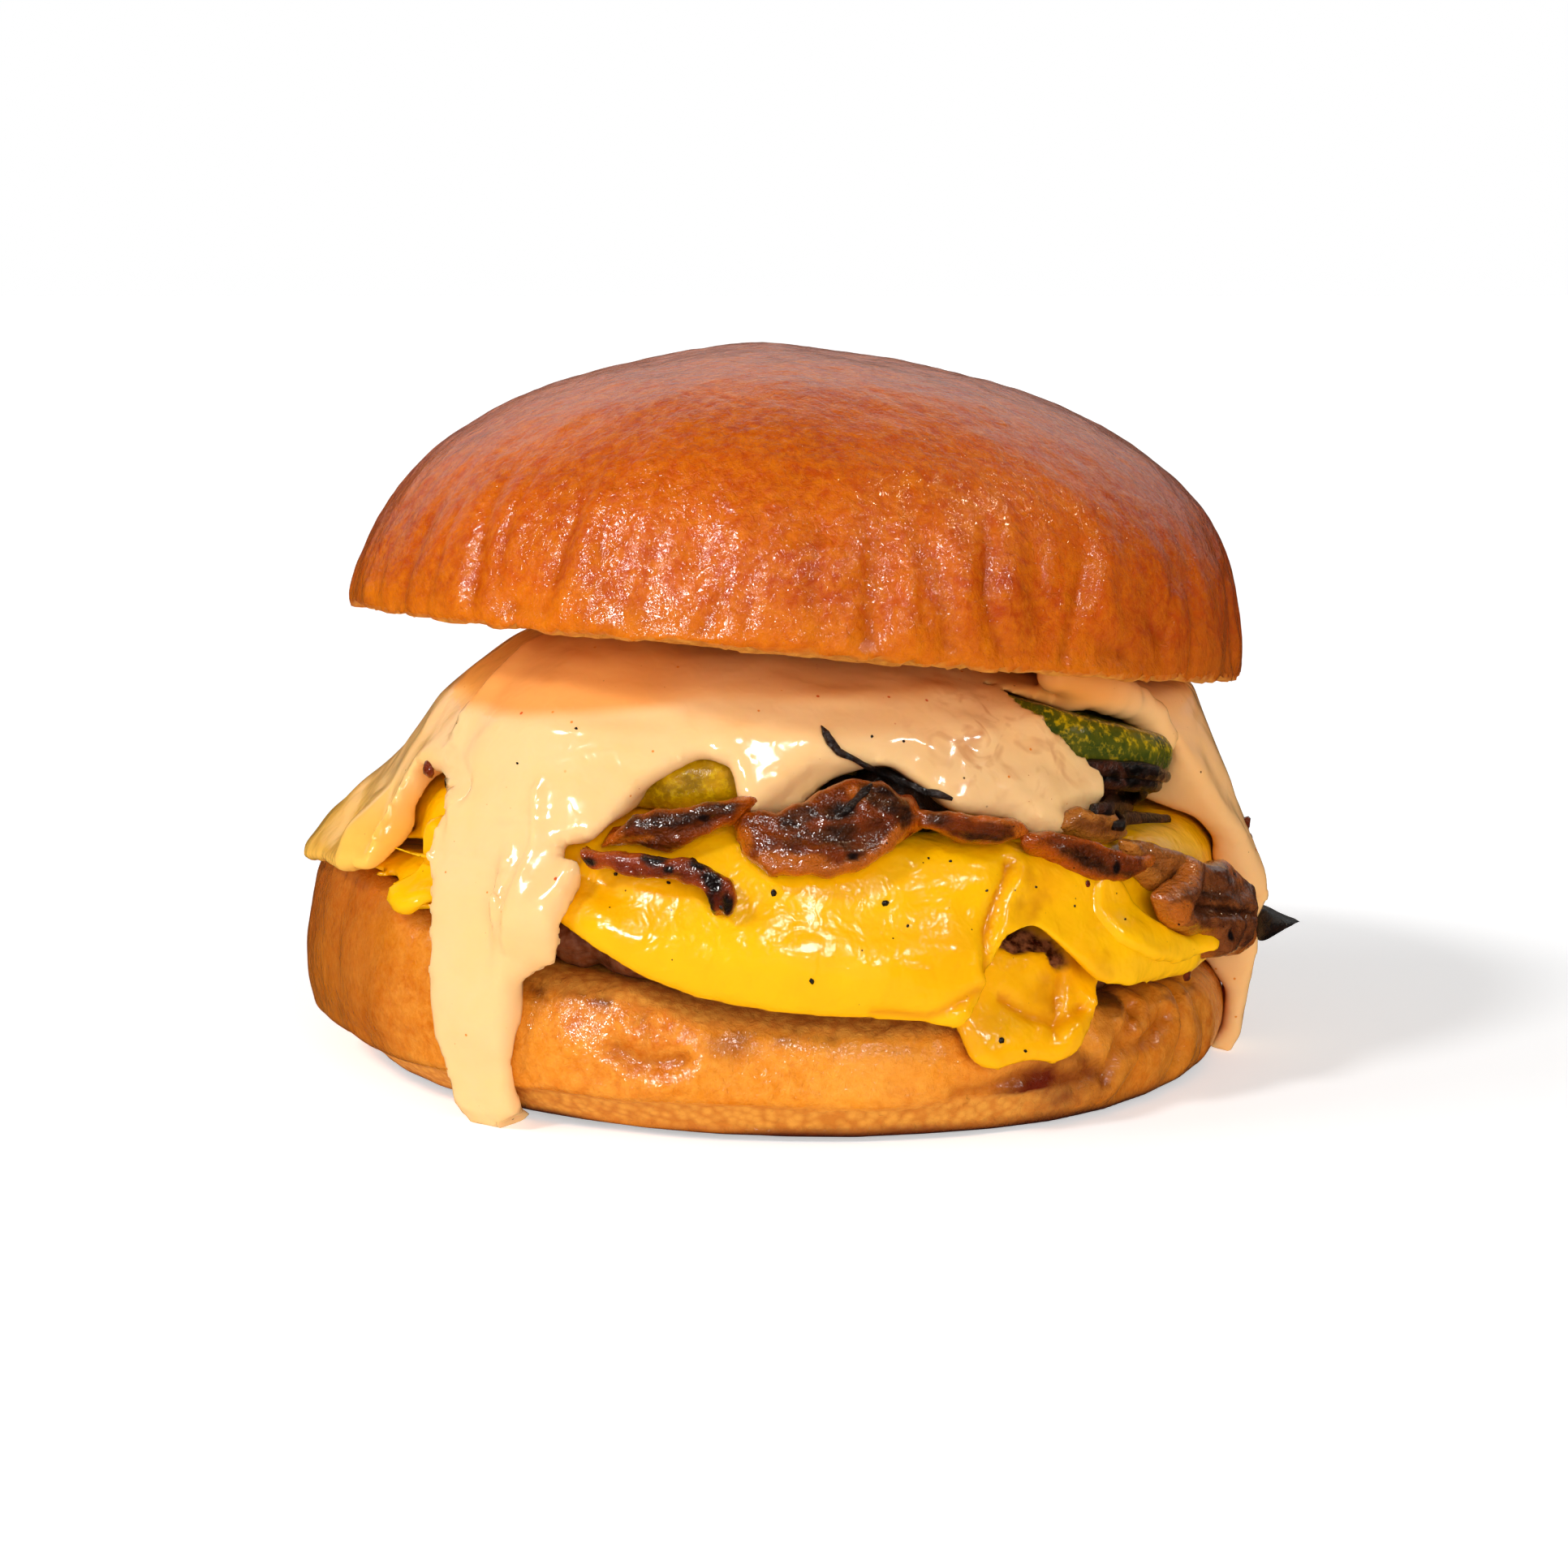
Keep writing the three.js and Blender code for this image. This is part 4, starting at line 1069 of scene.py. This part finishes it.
SLICES = {
    "mushroom_large": {
        "thick": 2.8,
        "lift": 0.6,
        "relief": 0.6,
        "upper": [
            (-6.2, 35.4), (-5.6, 36.6), (-4.2, 37.5), (-0.6, 37.7), (2.6, 38.8), (5.2, 40.0), (8.4, 40.6),
            (11.6, 40.4), (14.1, 39.5), (16.6, 37.3), (18.0, 35.8),
        ],
        "lower": [
            (-6.0, 34.4), (-5.5, 32.3), (-3.8, 30.9), (-1.3, 30.2), (2.5, 29.9), (5.7, 29.4), (8.2, 29.9),
            (11.0, 31.3), (13.3, 32.4), (15.2, 33.7), (16.2, 34.8),
        ],
        "burnt": [(7.9, 32.4, 0.9, 0.5), (6.8, 37.0, 0.9, 0.6)],
        "dark": [
            (1.5, 36.4, 3.0, 1.2, 15), (6.6, 37.1, 2.0, 1.0, 10), (6.2, 34.9, 2.6, 1.0, 5),
            (12.4, 38.2, 3.4, 1.6, -25), (15.6, 36.4, 1.5, 2.0), (3.0, 38.6, 2.6, 0.7, 18),
        ],
        "amber": [
            (1.0, 31.6, 6.0, 1.4, -6), (8.6, 31.2, 4.0, 1.4, 12), (13.3, 33.8, 2.8, 1.2, 28),
            (-4.8, 33.6, 1.4, 2.2), (9.0, 38.8, 1.8, 0.8, -10),
        ],
        "grooves": [
            ([(-2, 35.4), (3, 34.4), (8, 34.2), (12, 35.4)], 0.35),
            ([(3, 30.4), (5.2, 31.8), (9, 32.4)], 0.3),
        ],
    },
    "mushroom_left": {
        "thick": 2.8,
        "lift": 0.9,
        "rim": 1.0,
        "upper": [
            (-22.8, 32.6), (-22.1, 33.4), (-20.7, 34.6), (-19.4, 35.7), (-17.9, 36.8), (-13.8, 37.4),
            (-9.9, 38.0), (-6.8, 38.4), (-4.3, 38.2),
        ],
        "lower": [
            (-22.6, 32.4), (-20.1, 32.4), (-16.9, 32.3), (-13.7, 32.1), (-11.3, 33.0), (-9.0, 34.1),
            (-6.7, 34.8), (-5.5, 35.7), (-4.1, 37.6),
        ],
        "burnt": [(-9.6, 36.2, 0.8, 0.5), (-8.0, 38.2, 3.0, 0.3, 6)],
        "dark": [(-14.2, 36.2, 5.4, 1.2, 8), (-7.6, 37.3, 3.6, 1.0, 5), (-18.6, 35.6, 2.0, 0.9, 35)],
        "amber": [(-20.6, 33.7, 1.8, 0.8, 30), (-17.6, 33.8, 2.4, 0.4, 12)],
        "grooves": [([(-19, 33.2), (-15, 34.2), (-11.5, 35.0), (-8, 35.8)], 0.5)],
    },
    "mushroom_middle": {
        "thick": 2.6,
        "lift": 0.6,
        "rim": 1.0,
        "upper": [(16.6, 37.2), (19.7, 36.8), (23.5, 36.5), (27.1, 36.0), (30.3, 35.0), (32.8, 33.8)],
        "lower": [(16.4, 34.6), (19.3, 33.9), (22.2, 32.8), (25.7, 32.0), (28.8, 32.0), (32.3, 32.9)],
        "burnt": [(31.4, 34.2, 0.6, 0.3)],
        "dark": [(18.2, 35.9, 1.8, 1.4), (24.0, 33.4, 3.0, 0.6, -10)],
        "amber": [(27.0, 35.4, 3.4, 0.6, -12), (30.4, 33.8, 1.8, 1.0, -20)],
    },
    "mushroom_stub": {
        "thick": 1.8,
        "rim": 0.9,
        "lift": 0.4,
        "upper": [(38.4, 34.2), (40.2, 35.0), (43.7, 34.6), (47.6, 33.5), (50.3, 32.0)],
        "lower": [(38.2, 33.4), (40.0, 32.4), (43.1, 31.4), (47.3, 30.4), (49.6, 30.9)],
    },
    "mushroom_slope": {
        "thick": 1.8,
        "rim": 0.8,
        "upper": [(32.6, 33.4), (35.5, 33.5), (39.7, 32.4), (44.8, 31.0), (49.0, 29.8), (54.2, 29.2)],
        "lower": [
            (31.8, 32.6), (33.1, 31.8), (35.9, 29.8), (38.9, 28.1), (42.0, 26.9), (46.1, 26.4), (48.4, 27.7),
            (52.4, 27.9),
        ],
        "burnt": [(47.2, 26.9, 0.6, 0.4), (43.6, 28.6, 0.5, 1.0)],
        "dark": [(36.4, 32.8, 2.6, 0.6, -14), (39.6, 29.2, 4.6, 1.1, -30), (44.6, 27.4, 2.8, 0.9, -8)],
        "amber": [(50.4, 28.7, 2.6, 0.7, -8)],
        "grooves": [([(35, 32.2), (40, 30.9), (46, 29.4)], 0.3)],
    },
    "mushroom_corner": {
        "thick": 2.2,
        "lift": 0.5,
        "upper": [(46.4, 31.6), (50.6, 31.1), (54.9, 29.9), (59.5, 27.9)],
        "lower": [
            (46.0, 31.0), (48.3, 29.1), (49.1, 27.1), (51.6, 24.9), (53.4, 25.3), (57.3, 26.3), (59.2, 27.0),
        ],
        "dark": [(55.4, 26.9, 2.2, 0.4, 8)],
    },
    "mushroom_right": {
        "thick": 3.0,
        "rim": 1.8,
        "relief": 0.7,
        "upper": [
            (48.3, 25.2), (51.6, 26.2), (55.0, 27.0), (59.0, 28.2), (64.0, 27.9), (68.5, 26.4), (72.5, 23.6),
            (75.5, 20.0), (77.0, 17.5),
        ],
        "lower": [
            (48.2, 24.6), (49.3, 22.2), (51.2, 21.0), (56.9, 19.2), (58.4, 17.2), (59.0, 15.7), (61.5, 15.0),
            (65.2, 15.3), (67.0, 15.2), (70.0, 14.2), (74.0, 14.1), (76.6, 15.6),
        ],
        "burnt": [(60.4, 18.9, 0.4, 1.0, 20), (66.0, 25.0, 0.5, 0.4)],
        # The first dark oval lies along the first groove: painted shade in it
        "dark": [(61.5, 21.6, 6.5, 0.5, -14), (61.5, 15.9, 3.2, 0.7), (59.0, 23.6, 2.4, 0.7, -10)],
        "amber": [(67.0, 25.6, 2.4, 1.6), (72.0, 16.4, 3.0, 1.8), (50.6, 23.0, 1.4, 1.8)],
        "grooves": [
            ([(54, 23.2), (59, 22.2), (64, 20.9), (69, 19.8)], 0.9),
            ([(66.0, 19.8), (65.4, 17.4), (65.2, 15.2)], 1.0),
        ],
    },
}
AMBER_SLICES = ("mushroom_stub", "mushroom_corner")
STEWED_SLICES = ("mushroom_right",)

# Corners of the cheese slices in the gap beside the front drip and at the right, each on its nodes
CORNERS = {
    "cheese_upper_corner": (["cheese_upper"], {
        "lift": 0.8,
        "upper": [(-53.5, 37.6), (-50.5, 38.6), (-47.0, 38.9), (-42.0, 39.0)],
        "lower": [(-53.3, 37.2), (-52.0, 35.2), (-50.2, 34.2), (-47.2, 33.4), (-44.4, 32.9), (-42.0, 32.6)],
    }),
    "cheese_lower_corner": (["cheese_lower"], {
        "lift": 1.2,
        "upper": [(-50.4, 31.0), (-49.4, 33.6), (-47.0, 33.8), (-44.0, 33.0), (-41.5, 31.0)],
        "lower": [
            (-51.0, 29.4), (-52.6, 26.6), (-53.8, 23.4), (-51.7, 22.7), (-49.1, 22.9), (-46.6, 24.1),
            (-42.5, 24.2),
        ],
    }),
    "cheese_upper_flap": (["cheese_upper", "mushroom_right"], {
        "lift": 0.9,
        "upper": [
            (40.6, 26.6), (42.0, 28.6), (43.6, 29.4), (45.6, 27.6), (47.4, 25.1), (49.3, 22.8), (53, 20.4),
            (59.6, 17.8),
        ],
        "lower": [(40.4, 26.2), (40.0, 23.1), (42.2, 20.1), (48, 17.4), (54, 16.2), (59.2, 17.0)],
    }),
}

# Dark fried strands under the right pickle: [angle, height, how far out, half width, half thickness]
STRANDS = [
    [
        (41, 38.8, 0.1, 0.7, 0.5), (47, 38.9, 0.6, 1.0, 0.7), (55, 38.0, 0.6, 1.1, 0.7),
        (64, 36.2, 0.3, 0.7, 0.5),
    ],
    [
        (40, 37.4, 0.1, 0.9, 0.6), (46, 37.6, 0.6, 1.2, 0.9), (54, 36.8, 0.6, 1.2, 0.9),
        (62, 35.4, 0.3, 0.8, 0.6),
    ],
    [
        (38, 36.6, 0.0, 0.9, 0.6), (45, 36.6, 0.3, 1.3, 0.8), (54, 35.6, 0.3, 1.3, 0.8),
        (64, 33.6, 0.2, 0.9, 0.6),
    ],
    [
        (43, 34.6, 0.0, 0.9, 0.6), (50, 34.4, 0.4, 1.3, 0.9), (58, 33.2, 0.4, 1.4, 0.9),
        (68, 31.8, 0.2, 0.9, 0.6),
    ],
    [
        (46, 32.8, 0.0, 0.5, 0.4), (52, 32.4, 0.3, 1.2, 0.7), (60, 31.2, 0.3, 1.2, 0.7),
        (70, 30.2, 0.2, 0.7, 0.5),
    ],
    [
        (42, 38.2, 0.4, 0.5, 0.4), (46, 36.4, 0.9, 0.9, 0.6), (50, 34.2, 0.7, 0.8, 0.5),
        (53, 32.8, 0.1, 0.4, 0.3),
    ],
    [
        (54, 37.4, 0.6, 0.5, 0.4), (58, 35.0, 1.0, 0.9, 0.6), (64, 33.2, 0.7, 0.8, 0.6),
        (70, 32.6, 0.1, 0.5, 0.4),
    ],
]

# Bits on the side: [angle, height, size, flatness, how far out in sizes]
SIDE_BITS = [
    (-53.5, 38.4, 2.2, 0.5, 0.1), (-50.8, 37.8, 1.6, 0.5, 0.1), (83.5, 28.2, 2.0, 0.7, 0.1),
    (85.0, 26.2, 1.4, 0.7, 0.1), (57.6, 14.4, 1.6, 0.4, 0.1), (40.0, 27.0, 0.8, 0.5, 0.1),
]

# Pepper below the sauce and on it, where it sits a little deeper: [angle, height, size]
PEPPER_BELOW = [
    (-6.9, 27.2, 0.55), (-13.6, 29.2, 0.6), (-20.4, 29.7, 0.6), (-1.2, 28.3, 0.95), (11.9, 27.0, 0.85),
    (14.3, 24.6, 0.5), (3.0, 19.4, 0.8), (25.0, 27.6, 0.5), (21.0, 30.8, 0.5), (18.2, 31.2, 0.4),
    (32.0, 27.4, 0.4), (37.5, 24.8, 0.4), (44.0, 22.8, 0.45), (51.0, 21.6, 0.4), (25.5, 11.4, 0.8),
    (28.4, 10.0, 0.5),
]
PEPPER_ON_SAUCE = [(12.0, 44.2, 0.5), (16.4, 43.6, 0.5), (-27.0, 45.0, 0.5), (-34.0, 41.0, 0.4)]
PEPPER = [(*speck, 0.4, 0.05) for speck in PEPPER_BELOW]
PEPPER += [(*speck, 0.4, 0.02) for speck in PEPPER_ON_SAUCE]

# Burnt herb: [angle, height, how far out, half width, half thickness] along each
SPRIG = [
    (5.0, 45.5, 0.5, 0.08, 0.08), (5.5, 44.8, 0.6, 0.42, 0.3), (6.2, 43.9, 0.5, 0.5, 0.35),
    (7.2, 42.8, 0.4, 0.42, 0.32), (9.8, 41.7, 0.5, 0.3, 0.28), (12.4, 40.5, 0.8, 0.36, 0.3),
    (15.1, 39.6, 0.8, 0.4, 0.3), (17.4, 38.8, 0.6, 0.46, 0.3), (19.4, 38.1, 0.5, 0.5, 0.28),
    (21.0, 37.7, 0.4, 0.4, 0.2), (22.1, 37.3, 0.3, 0.2, 0.15),
]
LEAF = [
    (6.5, 36.7, 0.2, 0.2, 0.15), (7.4, 37.3, 0.25, 0.45, 0.25), (8.7, 38.3, 0.25, 0.4, 0.25),
    (10.0, 39.2, 0.2, 0.4, 0.2), (10.8, 39.7, 0.1, 0.15, 0.12),
]

# Sauce, by ovals unless it says otherwise: where its edge hangs lower, folds along lines of [angle, height]
# with their height and width, balls that fill it out, parts turned round the burger, and swells
WING_END = (-48, -46.6)  # angles between which the wing at the left gives way to the front drip
TOE_MIDDLE = -37.5  # angle of the drip's toe, its reach to each side, and where its right part starts
TOE_REACH = 14
TOE_RIGHT = -35.8
SAUCE_DROPS = [
    ((-1, 39.5, 6, 3.2), 2.0), ((9, 42, 4.5, 2.5), 0.8), ((20, 41, 4, 3), 1.6), ((26, 37.5, 5, 2.5), 0.8),
]
SAUCE_FOLDS = [
    ([(-45.4, 51.1), (-46.9, 47.8), (-48.3, 44), (-49, 40.2), (-46.7, 37.2), (-44.2, 35.6)], 1.2, 2.2),
    ([(-31, 38), (-30, 33), (-30.6, 28), (-31.5, 22)], 0.5, 1.2),
]
SAUCE_FILLS = [
    (-42.5, 25.8, 54.6, 1.6), (-40, 25.6, 54.4, 1.6), (-37.5, 25.6, 54.4, 1.6), (-35, 26, 54.4, 1.6),
    (45, 49.4, 43.4, 2.2), (48.5, 48.6, 43.8, 2.4), (52, 47.6, 44.6, 2.4), (55.5, 46.7, 45.2, 2.4),
    (59, 45.8, 45.6, 2.4), (62.5, 44.8, 46.0, 2.4), (65.5, 43.0, 47.0, 2.3), (67.0, 40.6, 47.8, 2.2),
]
SAUCE_SHIFTS = [((-52, 35, 7, 7), -5.5), ((-51, 39, 5, 3.5), -3.5), ((-45, 37.4, 2.6, 2.4), 3.6)]
SAUCE_SWELLS = [
    ((-49.5, 34, 3, 5), -0.9), ((-88, 41.5, 9, 4), -1.8), ((-80, 33, 8, 4), 0.9), ((-38, 18, 6, 6), 0.9),
    ((-38, 30, 7, 7), 0.4), ((78, 23, 4, 5), 1.2), ((84, 34, 6, 5), 0.8),
]

# Cheese: grease as [angle, height, size, strength], and ovals where the lower slice is torn
UPPER_GREASE = [(31, 26.5, 3.2, 0.7), (24, 18, 1.6, 0.6), (40, 19, 2.5, 0.35)]
LOWER_TORN = [(31.5, 21.6, 4.2, 1.7, -8), (36, 19.4, 1.6, 2.2, 20)]
LOWER_GREASE = [(34, 15.5, 3.5, 0.45), (37, 18, 2.5, 0.6)]

model_heel(HEEL_CRUST)
model_patty("patty_lower", 200, BEEF)
model_cheese("cheese_lower", 210, LOWER_CHEESE, LOWER_CREASES, LOWER_GREASE, LOWER_TORN)
model_patty("patty_upper", 220, BEEF)
model_cheese("cheese_upper", 230, UPPER_CHEESE, UPPER_CREASES, UPPER_GREASE)
model_bed(BED)
model_pickle("pickle_left", 310, PICKLE_PALE)
model_pickle("pickle_right", 320, PICKLE_DARK)
model_fried("charred_strip", CHARRED, STRIP, 330)
for number, (node, sizes) in enumerate(SLICES.items()):
    paint = AMBER if node in AMBER_SLICES else STEWED if node in STEWED_SLICES else FRIED
    model_fried(node, paint, sizes, 340 + 10 * number)
model_lump("charred_tip", 430, BLACK)
model_lump("mushroom_back", 440, BED)
for number, (name, (nodes, sizes)) in enumerate(CORNERS.items()):
    make_sheet(name, nodes, UPPER_CHEESE, sizes, 460 + number)
for number, path in enumerate(STRANDS):
    make_stem(f"bed_strand_{number + 1}", STRAND, path, 470 + number)
model_sauce(SAUCE)
make_bits("side_bits", CHARRED, SIDE_BITS, 480)
make_bits("pepper", BLACK, PEPPER, 481, finer=1)
make_stem("herb_sprig", BLACK, SPRIG, 450)
make_stem("herb_leaf", BLACK, LEAF, 451)
model_crown(CROWN_CRUST)

# Stage


def make_floor():
    """A wide plain pale floor that only catches the soft shadow, and isn't mirrored in the food."""
    half = 20.0
    mesh = bpy.data.meshes.new("floor")
    corners = [(-half, -half, 0), (half, -half, 0), (half, half, 0), (-half, half, 0)]
    mesh.from_pydata(corners, [], [(0, 1, 2, 3)])
    paint = Paint("floor_paint", 1.0, 0.0)
    paint.set("Base Color", (0.85, 0.85, 0.85, 1))
    paint.set("Emission Color", (1, 1, 1, 1))
    paint.set("Emission Strength", FLOOR_GLOW)
    mesh.materials.append(paint.material)
    floor = in_scene("floor", mesh)
    floor.visible_glossy = False


def make_sun(name, azimuth, elevation, strength, spread, colour=(1.0, 1.0, 1.0), diffuse=True, gloss=True):
    """Soft distant light. Azimuth 0 comes from the camera's side and 90 from the right."""
    light = bpy.data.lights.new(name, "SUN")
    light.energy = strength
    light.angle = math.radians(spread)
    light.color = colour
    lamp = in_scene(name, light)
    turn, lift = math.radians(azimuth), math.radians(elevation)
    source = Vector((math.sin(turn) * math.cos(lift), -math.cos(turn) * math.cos(lift), math.sin(lift)))
    lamp.rotation_euler = source.to_track_quat("Z", "Y").to_euler()
    lamp.visible_diffuse = diffuse
    lamp.visible_glossy = gloss


def make_world():
    """Even soft light, mirrored only behind and low, and plain white where the camera looks past the food."""
    world = bpy.data.worlds.new("studio")
    bpy.context.scene.world = world
    world.use_nodes = True
    nodes = Nodes(world.node_tree)
    where = nodes.node("ShaderNodeTexCoord").outputs["Generated"]
    split = nodes.node("ShaderNodeSeparateXYZ", {0: where}).outputs
    path = nodes.node("ShaderNodeLightPath").outputs
    far, above = nodes.between(split["Y"], 0.35, 0.75), nodes.between(split["Z"], 0.1, 0.4)
    behind = nodes.math("MULTIPLY", nodes.math("MULTIPLY", far, nodes.between(split["Z"], 0.9, 0.65)), above)
    mirrored = nodes.math("ADD", nodes.math("MULTIPLY", behind, GLOSS_BACK), GLOSS_FRONT)
    mirrored = nodes.math("MULTIPLY", mirrored, path["Is Glossy Ray"])
    soft = nodes.math("MULTIPLY", nodes.math("SUBTRACT", 1.0, path["Is Glossy Ray"]), WORLD_SOFT)
    level = nodes.math("MAXIMUM", nodes.math("ADD", mirrored, soft), path["Is Camera Ray"])
    sky = nodes.node("ShaderNodeBackground", {"Color": (1, 1, 1, 1), "Strength": level})
    nodes.node("ShaderNodeOutputWorld", {"Surface": sky.outputs[0]})


def make_camera():
    lift = math.radians(CAMERA_ELEVATION)
    aim = Vector(CAMERA_AIM) * MM
    back = Vector((0, -math.cos(lift), math.sin(lift)))
    data = bpy.data.cameras.new("camera")
    data.lens = CAMERA_LENS
    data.sensor_width = 36
    data.clip_start = 0.01
    camera = in_scene("camera", data)
    camera.location = aim + back * CAMERA_DISTANCE * MM
    camera.rotation_euler = back.to_track_quat("Z", "Y").to_euler()
    bpy.context.scene.camera = camera


make_floor()
make_world()
make_sun("key", -50, 44, 1.15, 10)
make_sun("fill", 12, 12, 1.8, 40, gloss=False)
make_sun("window", -34, 17, 1.6, 9, WARM, diffuse=False)
make_sun("front", 14, 40, 0.6, 7, WARM, diffuse=False)
make_sun("left", -80, 26, 1.0, 30, gloss=False)
make_sun("glint", 52, 36, 0.35, 4, WARM, diffuse=False)
make_sun("lamp", 88, 56, 0.5, 4, AMBER_LIGHT, diffuse=False)
make_camera()
bpy.context.scene.view_settings.view_transform = "Standard"
